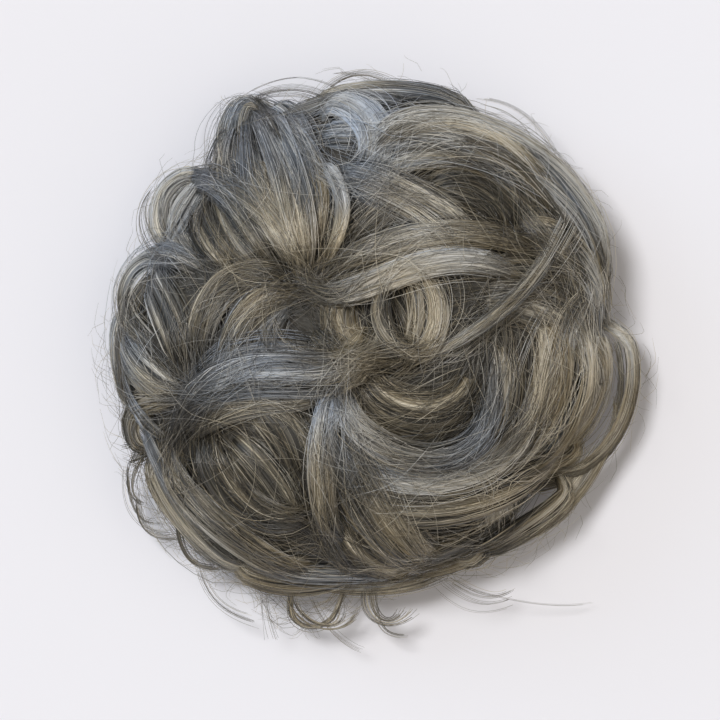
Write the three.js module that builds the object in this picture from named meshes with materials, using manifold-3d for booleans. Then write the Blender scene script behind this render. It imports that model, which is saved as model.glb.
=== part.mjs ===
// Top knot hairpiece, lying on its elastic loop: curled locks of hair wrapped round a padded
// base of hair, which is sewn to a weft track and an elastic band. The wearer's own knot goes
// up through the band into the hollow. Millimetres, +Z up, resting on z = 0.
import * as THREE from "three";
import { ParametricGeometry } from "three/addons/geometries/ParametricGeometry.js";
import { mergeVertices } from "three/addons/utils/BufferGeometryUtils.js";
import Module from "manifold-3d";

const wasm = await Module();
wasm.setup();

// Driving dimensions
const spread = 70; // mean radius of the hair seen from above, the unit of every plan share
const clearance = 0.35; // between pieces that touch
const mergeDistance = 0.001; // corners of a surface that lie closer than this are one

const bandRadius = 21; // inside of the elastic loop, unstretched
const bandThickness = 2.2;
const bandHeight = 6;

const trackThickness = 2.6; // the folded and sewn head of the weft
const trackHeight = 8;
const ringSides = 40;

const equatorHeight = 19; // where the base of hair is widest
const crownRise = 32; // from there to its top
const crownRoundness = 2.3; // 2 is an ellipse, more is boxier
const bellyClearance = 1; // underside of the base above the table
const pocketHeight = 30; // hollow for the wearer's own knot
const pocketRoundness = 3;
const baseSides = 28;

const lockFlatness = 0.5; // thickness of a lock as a share of its width
const tierStep = 2.8; // each tier of locks lies this much further out
const tuck = 4.5; // how far a lock's ends dive under their neighbours
const tuckShare = 0.25; // of a lock's length, at each end
const lean = 0.35; // turns a lock on a steep place up to face the sky
const outwardDrop = 0.4; // fall of a lock for each millimetre that it reaches past the base
const lockSides = 6;
const lockSteps = 7;
const tipRoundness = 2.4; // higher is blunter

const sideLockCount = 9;
const sideLockWidth = 0.215; // share of the spread, as the locks' widths in the tables are
const sideLockSpan = THREE.MathUtils.degToRad(62);
const sideLockTop = 25;
const sideLockFoot = 6.5;

// Reach of the base of hair at each bearing, as a share of the spread
const baseOutline = [
  { bearing: 0, reach: 0.91 },
  { bearing: 30, reach: 0.95 },
  { bearing: 60, reach: 0.98 },
  { bearing: 90, reach: 0.97 },
  { bearing: 120, reach: 0.92 },
  { bearing: 150, reach: 0.85 },
  { bearing: 180, reach: 0.95 },
  { bearing: 210, reach: 0.93 },
  { bearing: 240, reach: 0.97 },
  { bearing: 270, reach: 0.9 },
  { bearing: 300, reach: 0.86 },
  { bearing: 330, reach: 0.82 },
];

// The locks of the crown, a table for each tier. Within a tier the earlier rows lie over the later.
// Each lock passes over four places, given from the band's centre, with +X to the right and +Y to
// the back. These and its width are shares of the spread.
const topLocks = [
  { name: "peak_arch", wide: 0.135, via: [[-0.25, 0.31], [-0.27, 0.53], [-0.34, 0.78], [-0.45, 0.99]] },
  { name: "peak_ribbon", wide: 0.05, via: [[-0.18, 0.75], [-0.11, 0.64], [-0.09, 0.5], [-0.17, 0.31]] },
  { name: "left_sweep", wide: 0.17, via: [[0.06, 0.08], [-0.17, -0.12], [-0.49, -0.13], [-0.8, -0.4]] },
  { name: "front_fall", wide: 0.105, via: [[-0.11, -0.13], [-0.16, -0.34], [-0.17, -0.59], [-0.07, -0.87]] },
  { name: "curl_inner", wide: 0.11, via: [[-0.05, -0.14], [0.02, -0.37], [0.36, -0.43], [0.52, 0]] },
  { name: "outer_sweep", wide: 0.185, via: [[-0.02, 0.72], [0.34, 0.86], [0.79, 0.62], [0.96, 0.11]] },
  { name: "upper_sweep", wide: 0.11, via: [[-0.15, 0.31], [0.1, 0.4], [0.39, 0.44], [0.74, 0.36]] },
  { name: "centre_sweep", wide: 0.11, via: [[-0.24, 0.22], [0.01, 0.23], [0.28, 0.33], [0.68, 0.27]] },
  { name: "diagonal_strand", wide: 0.05, via: [[0.8, 0.48], [0.68, 0.28], [0.51, 0.11], [0.24, -0.06]] },
  { name: "centre_ring", wide: 0.07, via: [[0.13, 0.28], [0.06, 0.13], [0.13, 0], [0.29, -0.03]] },
];

const middleLocks = [
  { name: "beige_fan", wide: 0.135, via: [[-0.28, 0.29], [-0.32, 0.47], [-0.4, 0.63], [-0.49, 0.74]] },
  { name: "peak_fold", wide: 0.16, via: [[-0.43, 0.99], [-0.51, 0.92], [-0.52, 0.77], [-0.44, 0.62]] },
  { name: "peak_flank", wide: 0.105, via: [[-0.39, 0.93], [-0.27, 0.79], [-0.2, 0.6], [-0.24, 0.35]] },
  { name: "left_crown", wide: 0.16, via: [[-0.3, 0.32], [-0.41, 0.49], [-0.55, 0.64], [-0.73, 0.64]] },
  { name: "left_roll", wide: 0.105, via: [[-0.64, 0.28], [-0.85, 0.35], [-0.96, 0.19], [-0.82, -0.05]] },
  { name: "left_arc_outer", wide: 0.12, via: [[-0.25, 0.26], [-0.47, 0.27], [-0.61, 0.16], [-0.68, -0.08]] },
  { name: "left_arc_inner", wide: 0.12, via: [[-0.25, 0.21], [-0.4, 0.18], [-0.5, 0.05], [-0.56, -0.15]] },
  { name: "left_sweep_low", wide: 0.135, via: [[-0.08, -0.11], [-0.28, -0.19], [-0.51, -0.23], [-0.77, -0.42]] },
  { name: "lower_left_sweep", wide: 0.135, via: [[-0.8, -0.42], [-0.7, -0.6], [-0.48, -0.79], [-0.19, -0.95]] },
  { name: "lower_left_bowl", wide: 0.135, via: [[-0.64, -0.33], [-0.56, -0.54], [-0.39, -0.67], [-0.19, -0.62]] },
  { name: "front_fan", wide: 0.2, via: [[-0.06, -0.36], [-0.01, -0.56], [0.12, -0.75], [0.29, -0.89]] },
  { name: "curl_middle", wide: 0.13, via: [[-0.09, -0.21], [0.04, -0.51], [0.48, -0.48], [0.68, -0.03]] },
  { name: "curl_outer", wide: 0.15, via: [[-0.09, -0.43], [0.13, -0.64], [0.59, -0.55], [0.88, -0.16]] },
  { name: "lower_right_loop", wide: 0.18, via: [[0.84, -0.51], [0.76, -0.65], [0.58, -0.76], [0.38, -0.88]] },
  { name: "right_loop", wide: 0.105, via: [[0.96, 0.12], [1.07, -0.1], [0.96, -0.42], [0.61, -0.54]] },
  { name: "right_fall", wide: 0.17, via: [[0.91, 0.06], [0.93, -0.12], [0.84, -0.32], [0.65, -0.47]] },
  { name: "inner_sweep", wide: 0.11, via: [[0.04, 0.68], [0.25, 0.75], [0.51, 0.71], [0.63, 0.48]] },
  { name: "top_crest", wide: 0.145, via: [[-0.2, 0.95], [-0.05, 0.94], [0.04, 0.83], [-0.01, 0.68]] },
  { name: "crown_sweep", wide: 0.17, via: [[-0.13, 0.69], [0.07, 0.62], [0.26, 0.53], [0.46, 0.44]] },
  { name: "right_swirl", wide: 0.15, via: [[0.59, 0.44], [0.75, 0.42], [0.88, 0.28], [0.94, 0.08]] },
  { name: "centre_curtain", wide: 0.15, via: [[0.18, 0.29], [0.24, 0.18], [0.24, 0.05], [0.16, -0.07]] },
  { name: "centre_swirl", wide: 0.07, via: [[-0.35, 0.05], [-0.24, -0.04], [-0.08, -0.03], [0.01, 0.12]] },
];

// These are one with the base
const lowLocks = [
  { name: "left_bump", wide: 0.135, via: [[-0.6, 0.71], [-0.765, 0.65], [-0.825, 0.52], [-0.78, 0.34]] },
  { name: "left_veil", wide: 0.15, via: [[-0.6, 0.7], [-0.72, 0.58], [-0.76, 0.44], [-0.68, 0.3]] },
  { name: "left_drape", wide: 0.15, via: [[-0.96, 0.16], [-0.93, 0], [-0.84, -0.13], [-0.69, -0.22]] },
  { name: "left_edge", wide: 0.105, via: [[-0.95, 0.22], [-0.995, 0.02], [-0.965, -0.16], [-0.91, -0.32]] },
  { name: "left_bulge", wide: 0.12, via: [[-0.68, -0.21], [-0.88, -0.23], [-0.93, -0.35], [-0.83, -0.47]] },
  { name: "lower_left_edge", wide: 0.16, via: [[-0.89, -0.4], [-0.8, -0.6], [-0.63, -0.8], [-0.39, -0.95]] },
  { name: "lower_left_cross", wide: 0.16, via: [[-0.68, -0.32], [-0.48, -0.25], [-0.3, -0.31], [-0.2, -0.48]] },
  { name: "bottom_edge", wide: 0.135, via: [[-0.6, -0.84], [-0.4, -0.95], [-0.18, -0.96], [0.05, -0.89]] },
  { name: "bottom_curl", wide: 0.035, via: [[-0.31, -0.98], [-0.27, -1.11], [-0.17, -1.12], [-0.08, -1.01]] },
  { name: "front_dark", wide: 0.175, via: [[-0.12, -0.61], [-0.06, -0.78], [0.06, -0.88], [0.24, -0.91]] },
  { name: "curl_bowl", wide: 0.215, via: [[-0.02, -0.07], [0.08, -0.24], [0.3, -0.26], [0.46, -0.03]] },
  { name: "curl_inside", wide: 0.135, via: [[0.52, 0.06], [0.56, -0.13], [0.53, -0.3], [0.41, -0.44]] },
  { name: "lower_right_fall", wide: 0.175, via: [[0.45, -0.52], [0.52, -0.65], [0.47, -0.8], [0.32, -0.91]] },
  { name: "right_cap", wide: 0.135, via: [[0.88, -0.34], [0.8, -0.46], [0.65, -0.52], [0.44, -0.54]] },
  { name: "right_drop", wide: 0.17, via: [[0.72, 0.18], [0.75, -0.02], [0.72, -0.22], [0.59, -0.4]] },
  { name: "right_bridge", wide: 0.175, via: [[0.42, 0.18], [0.62, 0.18], [0.81, 0.11], [0.9, -0.08]] },
  { name: "outer_edge", wide: 0.145, via: [[0.43, 0.97], [0.755, 0.69], [0.925, 0.4], [0.96, 0.1]] },
  { name: "top_edge", wide: 0.135, via: [[-0.28, 0.96], [-0.05, 1.01], [0.24, 1.01], [0.56, 0.88]] },
  { name: "top_back", wide: 0.135, via: [[-0.24, 0.85], [-0.04, 0.84], [0.16, 0.88], [0.42, 0.91]] },
  { name: "notch_lock", wide: 0.135, via: [[-0.4, 0.95], [-0.32, 0.92], [-0.25, 0.83], [-0.21, 0.71]] },
  { name: "centre_left", wide: 0.145, via: [[-0.06, 0.24], [-0.1, 0.15], [-0.08, 0.04], [0.03, -0.03]] },
];

// A closed mesh as a solid. Vertices are merged, and the triangles that collapse at poles left out.
function solidFrom(geometry) {
  geometry.deleteAttribute("normal");
  geometry.deleteAttribute("uv");
  const merged = mergeVertices(geometry, mergeDistance);
  const corners = merged.index.array;
  const kept = [];
  for (let i = 0; i < corners.length; i += 3) {
    const [a, b, c] = corners.slice(i, i + 3);
    if (a !== b && b !== c && c !== a) kept.push(a, b, c);
  }
  return new wasm.Manifold(
    new wasm.Mesh({
      numProp: 3,
      vertProperties: merged.attributes.position.array,
      triVerts: new Uint32Array(kept),
    }),
  );
}

function meshFrom(solid, name, material) {
  const { vertProperties, triVerts, numProp } = solid.getMesh();
  const positions = [];
  for (let i = 0; i < vertProperties.length; i += numProp) {
    positions.push(vertProperties[i], vertProperties[i + 1], vertProperties[i + 2]);
  }
  const geometry = new THREE.BufferGeometry();
  geometry.setAttribute("position", new THREE.Float32BufferAttribute(positions, 3));
  geometry.setIndex([...triVerts]);
  geometry.computeVertexNormals();
  const mesh = new THREE.Mesh(geometry, material);
  mesh.name = name;
  return mesh;
}

// The largest body of a cut solid: a cut by a neighbour can leave a crumb beside it.
function mainBody(solid) {
  return solid.decompose().reduce((a, b) => (b.volume() > a.volume() ? b : a));
}

function baseReach(bearing) {
  const step = THREE.MathUtils.degToRad(baseOutline[1].bearing);
  const turns = THREE.MathUtils.euclideanModulo(bearing / step, baseOutline.length);
  const before = Math.floor(turns) % baseOutline.length;
  const after = (before + 1) % baseOutline.length;
  const ease = THREE.MathUtils.smoothstep(turns - Math.floor(turns), 0, 1);
  const share = THREE.MathUtils.lerp(baseOutline[before].reach, baseOutline[after].reach, ease);
  return share * spread;
}

// A place on the base of hair, or a given distance outside it, over a point of the plan
function onCrown(x, y, outward) {
  const bearing = Math.atan2(y, x);
  const distance = Math.hypot(x, y);
  const reach = baseReach(bearing) + outward;
  const share = Math.min(distance / reach, 1);
  const rise = (1 - share ** crownRoundness) ** (1 / crownRoundness);
  const beyond = Math.max(distance - reach, 0);
  const height = equatorHeight + (crownRise + outward) * rise - beyond * outwardDrop;
  const level = share ** (crownRoundness - 1) / reach;
  const upright = rise ** (crownRoundness - 1) / (crownRise + outward);
  const normal = new THREE.Vector3(Math.cos(bearing) * level, Math.sin(bearing) * level, upright);
  normal.normalize().z += lean;
  return { point: new THREE.Vector3(x, y, height), normal: normal.normalize() };
}

// The cubic curve that passes through four places at even steps. A cubic with given values a, b, c
// and d at 0, 1/3, 2/3 and 1 has its first Bezier handle at (-5a + 18b - 9c + 2d) / 6.
function through(via) {
  const at = via.map(([x, y]) => new THREE.Vector2(x, y).multiplyScalar(spread));
  const handle = (a, b, c, d) =>
    new THREE.Vector2(
      (-5 * a.x + 18 * b.x - 9 * c.x + 2 * d.x) / 6,
      (-5 * a.y + 18 * b.y - 9 * c.y + 2 * d.y) / 6,
    );
  return new THREE.CubicBezierCurve(
    at[0],
    handle(at[0], at[1], at[2], at[3]),
    handle(at[3], at[2], at[1], at[0]),
    at[3],
  );
}

// The stations of a crown lock: places and outward normals, with its two ends tucked in
function crownStations({ via, wide }, outward) {
  const plan = through(via);
  const halfThickness = (wide * spread * lockFlatness) / 2;
  const stations = [];
  for (let i = 0; i <= lockSteps; i++) {
    const along = i / lockSteps;
    const at = plan.getPoint(along);
    const station = onCrown(at.x, at.y, outward);
    const end = 1 - THREE.MathUtils.smoothstep(Math.min(along, 1 - along), 0, tuckShare);
    station.point.addScaledVector(station.normal, -tuck * end);
    station.point.z = Math.max(station.point.z, halfThickness + bellyClearance);
    stations.push(station);
  }
  return stations;
}

// The stations of a lock that curls down the side and round under the belly
function sideStations(index) {
  const start = (2 * Math.PI * index) / sideLockCount;
  const stations = [];
  for (let i = 0; i <= lockSteps; i++) {
    const along = i / lockSteps;
    const bearing = start + sideLockSpan * along;
    const height = THREE.MathUtils.lerp(sideLockTop, sideLockFoot, THREE.MathUtils.smoothstep(along, 0, 1));
    const drop = THREE.MathUtils.clamp((equatorHeight - height) / (equatorHeight - bellyClearance), 0, 1);
    const under = Math.sqrt(1 - drop * drop);
    const inner = bandRadius + bandThickness + trackThickness;
    const radius = inner + (baseReach(bearing) - inner) * under;
    const normal = new THREE.Vector3(Math.cos(bearing), Math.sin(bearing), -drop).normalize();
    const point = new THREE.Vector3(Math.cos(bearing) * radius, Math.sin(bearing) * radius, height);
    stations.push({ point, normal });
  }
  return stations;
}

// A flattened round body along the stations, its section an ellipse that closes at both tips.
// extra widens it all round, which makes the tool that cuts its bed into a neighbour.
function lockSolid(stations, wide, extra) {
  const halfWidth = (wide * spread) / 2;
  const line = new THREE.CatmullRomCurve3(stations.map((s) => s.point));
  const rings = stations.map(({ normal }, i) => {
    const along = i / lockSteps;
    const tangent = line.getTangent(along);
    const side = new THREE.Vector3().crossVectors(normal, tangent).normalize();
    const up = new THREE.Vector3().crossVectors(tangent, side).normalize();
    return { centre: line.getPoint(along), tangent, side, up };
  });
  const surface = (around, along, target) => {
    const ring = rings[Math.round(along * lockSteps)];
    const fullness = (1 - Math.abs(2 * along - 1) ** tipRoundness) ** (1 / tipRoundness);
    const turn = 2 * Math.PI * around;
    const capped = along === 0 ? -extra : along === 1 ? extra : 0;
    const grown = fullness > 0 ? extra : 0;
    target.copy(ring.centre).addScaledVector(ring.tangent, capped);
    target.addScaledVector(ring.side, Math.cos(turn) * (halfWidth * fullness + grown));
    target.addScaledVector(ring.up, Math.sin(turn) * (halfWidth * lockFlatness * fullness + grown));
  };
  return solidFrom(new ParametricGeometry(surface, lockSides, lockSteps));
}

// The padded base of hair: a dome outside, a round belly, a rebate for the track, and the hollow
function baseSolid() {
  const seat = bandRadius + bandThickness + trackThickness + 2 * clearance;
  const ledge = trackHeight + clearance;
  const profile = [];
  const domeSteps = 8;
  const bellySteps = 4;
  const hollowSteps = 5;
  for (let i = 0; i <= domeSteps; i++) {
    const angle = (Math.PI / 2) * (1 - i / domeSteps);
    const share = Math.max(Math.cos(angle), 0) ** (2 / crownRoundness);
    const rise = Math.sin(angle) ** (2 / crownRoundness);
    profile.push({ share, inner: 0, height: equatorHeight + crownRise * rise });
  }
  for (let i = 1; i <= bellySteps; i++) {
    const angle = ((Math.PI / 2) * i) / bellySteps;
    const share = i === bellySteps ? 0 : Math.cos(angle);
    const height = equatorHeight - (equatorHeight - bellyClearance) * Math.sin(angle);
    profile.push({ share, inner: seat, height });
  }
  profile.push({ share: 0, inner: seat, height: ledge });
  for (let i = 0; i <= hollowSteps; i++) {
    const angle = ((Math.PI / 2) * i) / hollowSteps;
    const inner = bandRadius * Math.max(Math.cos(angle), 0) ** (2 / pocketRoundness);
    const height = ledge + (pocketHeight - ledge) * Math.sin(angle) ** (2 / pocketRoundness);
    profile.push({ share: 0, inner: i === hollowSteps ? 0 : inner, height });
  }
  const surface = (around, along, target) => {
    const bearing = -2 * Math.PI * around;
    const { share, inner, height } = profile[Math.round(along * (profile.length - 1))];
    const radius = inner + (baseReach(bearing) - inner) * share;
    target.set(Math.cos(bearing) * radius, Math.sin(bearing) * radius, height);
  };
  return solidFrom(new ParametricGeometry(surface, baseSides, profile.length - 1));
}

// A flat band standing on edge: a rectangle turned round the axis
function ringSolid(innerRadius, thickness, height) {
  const section = [
    [innerRadius, 0],
    [innerRadius + thickness, 0],
    [innerRadius + thickness, height],
    [innerRadius, height],
    [innerRadius, 0],
  ].map(([r, z]) => new THREE.Vector2(r, z));
  return solidFrom(new THREE.LatheGeometry(section, ringSides).rotateX(Math.PI / 2));
}

const shadedHair = new THREE.MeshStandardMaterial({ color: 0x4a463c, roughness: 0.7 });
const ashHair = new THREE.MeshStandardMaterial({ color: 0x77746b, roughness: 0.45 });
const elastic = new THREE.MeshStandardMaterial({ color: 0x2b2a2a, roughness: 0.85 });
const weftTape = new THREE.MeshStandardMaterial({ color: 0x4d4a45, roughness: 0.9 });

// From the top down: each lock is bedded into those below it, and all of them into the base
const hair = new THREE.Group();
let above = null;
for (const [outward, locks] of [[2 * tierStep, topLocks], [tierStep, middleLocks]]) {
  for (const lock of locks) {
    const stations = crownStations(lock, outward);
    const whole = lockSolid(stations, lock.wide, 0);
    const bedded = above ? mainBody(whole.subtract(above)) : whole;
    hair.add(meshFrom(bedded, lock.name, ashHair));
    const tool = lockSolid(stations, lock.wide, clearance);
    above = above ? above.add(tool) : tool;
  }
}

let base = baseSolid();
for (const lock of lowLocks) {
  base = base.add(lockSolid(crownStations(lock, 0), lock.wide, 0));
}
for (let i = 0; i < sideLockCount; i++) {
  base = base.add(lockSolid(sideStations(i), sideLockWidth, 0));
}
hair.add(meshFrom(mainBody(base.subtract(above)), "hair_base", shadedHair));

const fastening = new THREE.Group();
const bandSolid = ringSolid(bandRadius, bandThickness, bandHeight);
const trackSolid = ringSolid(bandRadius + bandThickness + clearance, trackThickness, trackHeight);
fastening.add(meshFrom(bandSolid, "elastic_band", elastic));
fastening.add(meshFrom(trackSolid, "weft_track", weftTape));

const hairpiece = new THREE.Group();
hairpiece.add(hair, fastening);

// The frame's origin is the middle of the footprint, at the table
const middle = new THREE.Box3().setFromObject(hairpiece, true).getCenter(new THREE.Vector3());
hairpiece.position.set(-middle.x, -middle.y, 0);

export default hairpiece;
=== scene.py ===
import math

import bpy
import numpy as np
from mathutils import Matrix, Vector


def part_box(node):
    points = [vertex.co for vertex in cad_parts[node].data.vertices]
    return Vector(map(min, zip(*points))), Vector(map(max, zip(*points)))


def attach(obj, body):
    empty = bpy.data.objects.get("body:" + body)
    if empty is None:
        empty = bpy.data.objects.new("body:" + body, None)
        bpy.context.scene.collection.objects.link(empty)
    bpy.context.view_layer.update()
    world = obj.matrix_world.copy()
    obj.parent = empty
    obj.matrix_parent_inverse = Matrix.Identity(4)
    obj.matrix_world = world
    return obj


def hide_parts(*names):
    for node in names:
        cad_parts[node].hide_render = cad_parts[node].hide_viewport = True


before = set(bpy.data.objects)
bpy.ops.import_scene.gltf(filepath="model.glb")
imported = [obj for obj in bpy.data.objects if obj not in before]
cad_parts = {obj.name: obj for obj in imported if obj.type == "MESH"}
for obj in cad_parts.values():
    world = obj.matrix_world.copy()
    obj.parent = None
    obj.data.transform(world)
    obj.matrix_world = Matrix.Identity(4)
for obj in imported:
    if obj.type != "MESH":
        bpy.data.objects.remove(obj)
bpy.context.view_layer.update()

# The elastic loop. Knitted elastic tape, ribbed across its width and joined into a ring that
# stretches over the wearer's own knot. The weft is sewn round its outside.
band_low, band_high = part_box("elastic_band")
band_centre = (band_low + band_high) / 2
band_outer = (band_high.x - band_low.x) / 2
band_thickness = 0.0022
band_ribs = 72
columns_per_rib = 4
rib_depth = 0.00015
band_corner = band_thickness * 0.4
corner_steps = 5


class Wire:
    """A socket of a node tree, which takes part in sums as a number does."""

    def __init__(self, tree, socket):
        self.tree = tree
        self.socket = socket

    @classmethod
    def add(cls, tree, kind, settings=None, sockets=None, output=0):
        node = tree.nodes.new(kind)
        for name, value in (settings or {}).items():
            if name == "stops":
                for stop, (place, colour) in zip(cls.stops(node, len(value)), value):
                    stop.position = place
                    stop.color = colour
            else:
                setattr(node, name, value)
        for key, value in (sockets or {}).items():
            if isinstance(value, Wire):
                tree.links.new(value.socket, node.inputs[key])
            else:
                node.inputs[key].default_value = value
        return cls(tree, node.outputs[output])

    @staticmethod
    def stops(node, count):
        while len(node.color_ramp.elements) < count:
            node.color_ramp.elements.new(1.0)
        return node.color_ramp.elements

    def into(self, shader, name):
        self.tree.links.new(self.socket, shader.inputs[name])

    def sum(self, operation, first, second):
        return Wire.add(self.tree, "ShaderNodeMath", {"operation": operation}, {0: first, 1: second})

    def __add__(self, other):
        return self.sum("ADD", self, other)

    def __radd__(self, other):
        return self.sum("ADD", other, self)

    def __sub__(self, other):
        return self.sum("SUBTRACT", self, other)

    def __rsub__(self, other):
        return self.sum("SUBTRACT", other, self)

    def __mul__(self, other):
        return self.sum("MULTIPLY", self, other)

    def __rmul__(self, other):
        return self.sum("MULTIPLY", other, self)


def put_in_scene(name, data):
    """An object that holds a mesh, a lamp or a camera, at the origin."""
    held = bpy.data.objects.new(name, data)
    bpy.context.scene.collection.objects.link(held)
    return held


def new_finish(name, roughness):
    """A material, its node tree and its shader, ready for what varies over the surface."""
    material = bpy.data.materials.new(name)
    material.use_nodes = True
    tree = material.node_tree
    shader = tree.nodes["Principled BSDF"]
    shader.inputs["Roughness"].default_value = roughness
    return material, tree, shader


def ring_grid(rows, columns):
    """Faces of a closed sheet: rows of vertices that run round, the last row joined to the first."""
    faces = []
    for i in range(rows):
        for j in range(columns):
            here, there = i * columns, ((i + 1) % rows) * columns
            after = (j + 1) % columns
            faces.append((here + j, here + after, there + after, there + j))
    return faces


def turned_ring(name, section, columns, ribs=0, depth=0.0):
    """A closed section of (radius, height) points turned round the band's axis, ribbed if asked."""
    bearing = np.linspace(0, 2 * math.pi, columns, endpoint=False)
    ripple = depth * np.cos(bearing * ribs) if ribs else np.zeros(columns)
    points = []
    for radius, height in section:
        reach = radius + ripple
        x = band_centre.x + reach * np.cos(bearing)
        y = band_centre.y + reach * np.sin(bearing)
        points += list(zip(x, y, np.full(columns, height)))
    mesh = bpy.data.meshes.new(name)
    mesh.from_pydata(points, [], ring_grid(len(section), columns))
    mesh.shade_smooth()
    return put_in_scene(name, mesh)


def rounded_section(inner, outer, low, high, corner):
    """A rectangle with round corners, its points in order round the section."""
    points = []
    for quarter, (radius, height) in enumerate(
        [(outer - corner, low + corner), (outer - corner, high - corner),
         (inner + corner, high - corner), (inner + corner, low + corner)]
    ):
        for step in range(corner_steps + 1):
            angle = math.pi / 2 * (quarter - 1 + step / corner_steps)
            points.append((radius + corner * math.cos(angle), height + corner * math.sin(angle)))
    return points


def knitted_elastic():
    """Dark knitted elastic: small loops of yarn with a little fuzz between them."""
    material, tree, shader = new_finish("knitted_elastic", 0.85)
    place = Wire.add(tree, "ShaderNodeTexCoord", output=3)
    knit = Wire.add(tree, "ShaderNodeTexVoronoi", sockets={"Vector": place, "Scale": 1600.0})
    fuzz = Wire.add(tree, "ShaderNodeTexNoise", sockets={"Vector": place, "Scale": 900.0})
    Wire.add(
        tree, "ShaderNodeValToRGB",
        {"stops": [(0.2, (0.012, 0.012, 0.013, 1)), (0.8, (0.05, 0.048, 0.047, 1))]},
        {"Fac": knit * 0.7 + fuzz * 0.4},
    ).into(shader, "Base Color")
    Wire.add(
        tree, "ShaderNodeBump", sockets={"Height": knit + fuzz * 0.5, "Strength": 0.5, "Distance": 0.0002}
    ).into(shader, "Normal")
    return material


band = turned_ring(
    "ribbed_elastic",
    rounded_section(
        band_outer - band_thickness + rib_depth, band_outer - rib_depth,
        band_low.z + rib_depth, band_high.z, band_corner,
    ),
    band_ribs * columns_per_rib, band_ribs, rib_depth,
)
band.data.materials.append(knitted_elastic())
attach(band, "root")
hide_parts("elastic_band")

# The weft track. The folded head of the weft, a woven tape that the hair is sewn into with two rows
# of lock stitches, wrapped round the outside of the elastic.
track_low, track_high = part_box("weft_track")
track_outer = (track_high.x - track_low.x) / 2
track_clearance = 0.00035
track_inner = band_outer + track_clearance
track_corner = 0.0007
track_columns = 96
stitch_length = 0.0022
stitch_pitch = stitch_length * 1.35
stitch_radius = 0.0002
stitch_rise = stitch_radius * 1.1
stitch_rows = [0.25, 0.6]
path_points = 160


def woven_tape():
    """Brown grey woven tape: threads in rows round the track, over a fine uneven weave."""
    material, tree, shader = new_finish("woven_tape", 0.9)
    place = Wire.add(tree, "ShaderNodeTexCoord", output=3)
    warp = Wire.add(
        tree, "ShaderNodeTexWave", {"bands_direction": "Z"},
        {"Vector": place, "Scale": 900.0, "Distortion": 1.5}, output=1,
    )
    weave = Wire.add(tree, "ShaderNodeTexNoise", sockets={"Vector": place, "Scale": 1400.0})
    Wire.add(
        tree, "ShaderNodeValToRGB",
        {"stops": [(0.2, (0.05, 0.045, 0.038, 1)), (0.9, (0.16, 0.148, 0.125, 1))]},
        {"Fac": warp * 0.5 + weave * 0.5},
    ).into(shader, "Base Color")
    Wire.add(
        tree, "ShaderNodeBump", sockets={"Height": warp + weave, "Strength": 0.6, "Distance": 0.0002}
    ).into(shader, "Normal")
    return material


def open_tree(name, inputs, result):
    """A Geometry Nodes tree with named inputs and one result, and a wire from each input."""
    tree = bpy.data.node_groups.new(name, "GeometryNodeTree")
    for label, kind in inputs.items():
        tree.interface.new_socket(label, in_out="INPUT", socket_type="NodeSocket" + kind)
    tree.interface.new_socket(result, in_out="OUTPUT", socket_type="NodeSocketGeometry")
    given = tree.nodes.new("NodeGroupInput")
    return [tree] + [Wire(tree, socket) for socket in given.outputs[:len(inputs)]]


def close_tree(tree, shapes, finish):
    """Ends a tree: its shapes are made real, smooth and given their finish."""
    real = Wire.add(tree, "GeometryNodeRealizeInstances", sockets={"Geometry": shapes})
    rounded = Wire.add(tree, "GeometryNodeSetShadeSmooth", sockets={"Geometry": real})
    made = Wire.add(tree, "GeometryNodeSetMaterial", sockets={"Geometry": rounded, "Material": finish})
    tree.links.new(made.socket, tree.nodes.new("NodeGroupOutput").inputs[0])
    return tree


def stitch_tree():
    """Lays stitches at an even pitch along a path, each in line with it, as a small round bar."""
    tree, path, pitch, length, radius, thread = open_tree(
        "row_of_stitches",
        {"Path": "Geometry", "Pitch": "Float", "Length": "Float", "Radius": "Float", "Thread": "Material"},
        "Stitches",
    )
    curve = Wire.add(tree, "GeometryNodeMeshToCurve", sockets={"Mesh": path})
    points = Wire.add(
        tree, "GeometryNodeCurveToPoints", {"mode": "LENGTH"}, {"Curve": curve, "Length": pitch}
    )
    turn = Wire(tree, points.socket.node.outputs["Rotation"])
    bar = Wire.add(tree, "GeometryNodeMeshIcoSphere", sockets={"Radius": 1.0, "Subdivisions": 2})
    size = Wire.add(tree, "ShaderNodeCombineXYZ", sockets={0: radius, 1: radius, 2: length * 0.5})
    laid = Wire.add(
        tree, "GeometryNodeInstanceOnPoints",
        sockets={"Points": points, "Instance": bar, "Rotation": turn, "Scale": size},
    )
    return close_tree(tree, laid, thread)


def grown(name, source, tree, values):
    """Runs a Geometry Nodes tree on a mesh and gives the result as a plain piece of its own."""
    holder = put_in_scene(name + "_source", source)
    modifier = holder.modifiers.new("grow", "NODES")
    modifier.node_group = tree
    for socket in tree.interface.items_tree:
        if socket.item_type == "SOCKET" and socket.in_out == "INPUT" and socket.name in values:
            modifier[socket.identifier] = values[socket.name]
    evaluated = holder.evaluated_get(bpy.context.evaluated_depsgraph_get())
    mesh = bpy.data.meshes.new_from_object(evaluated)
    mesh.name = name
    bpy.data.objects.remove(holder)
    bpy.data.meshes.remove(source)
    return put_in_scene(name, mesh)


def sewing_thread():
    """Grey spun thread, lighter and darker along its twist."""
    material, tree, shader = new_finish("sewing_thread", 0.6)
    place = Wire.add(tree, "ShaderNodeTexCoord", output=3)
    twist = Wire.add(tree, "ShaderNodeTexNoise", sockets={"Vector": place, "Scale": 2600.0})
    Wire.add(
        tree, "ShaderNodeValToRGB",
        {"stops": [(0.3, (0.10, 0.094, 0.082, 1)), (0.7, (0.26, 0.245, 0.21, 1))]},
        {"Fac": twist},
    ).into(shader, "Base Color")
    return material


track = turned_ring(
    "sewn_weft_head",
    rounded_section(track_inner, track_outer, track_low.z, track_high.z, track_corner),
    track_columns,
)
track.data.materials.append(woven_tape())
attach(track, "root")
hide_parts("weft_track")

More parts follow.
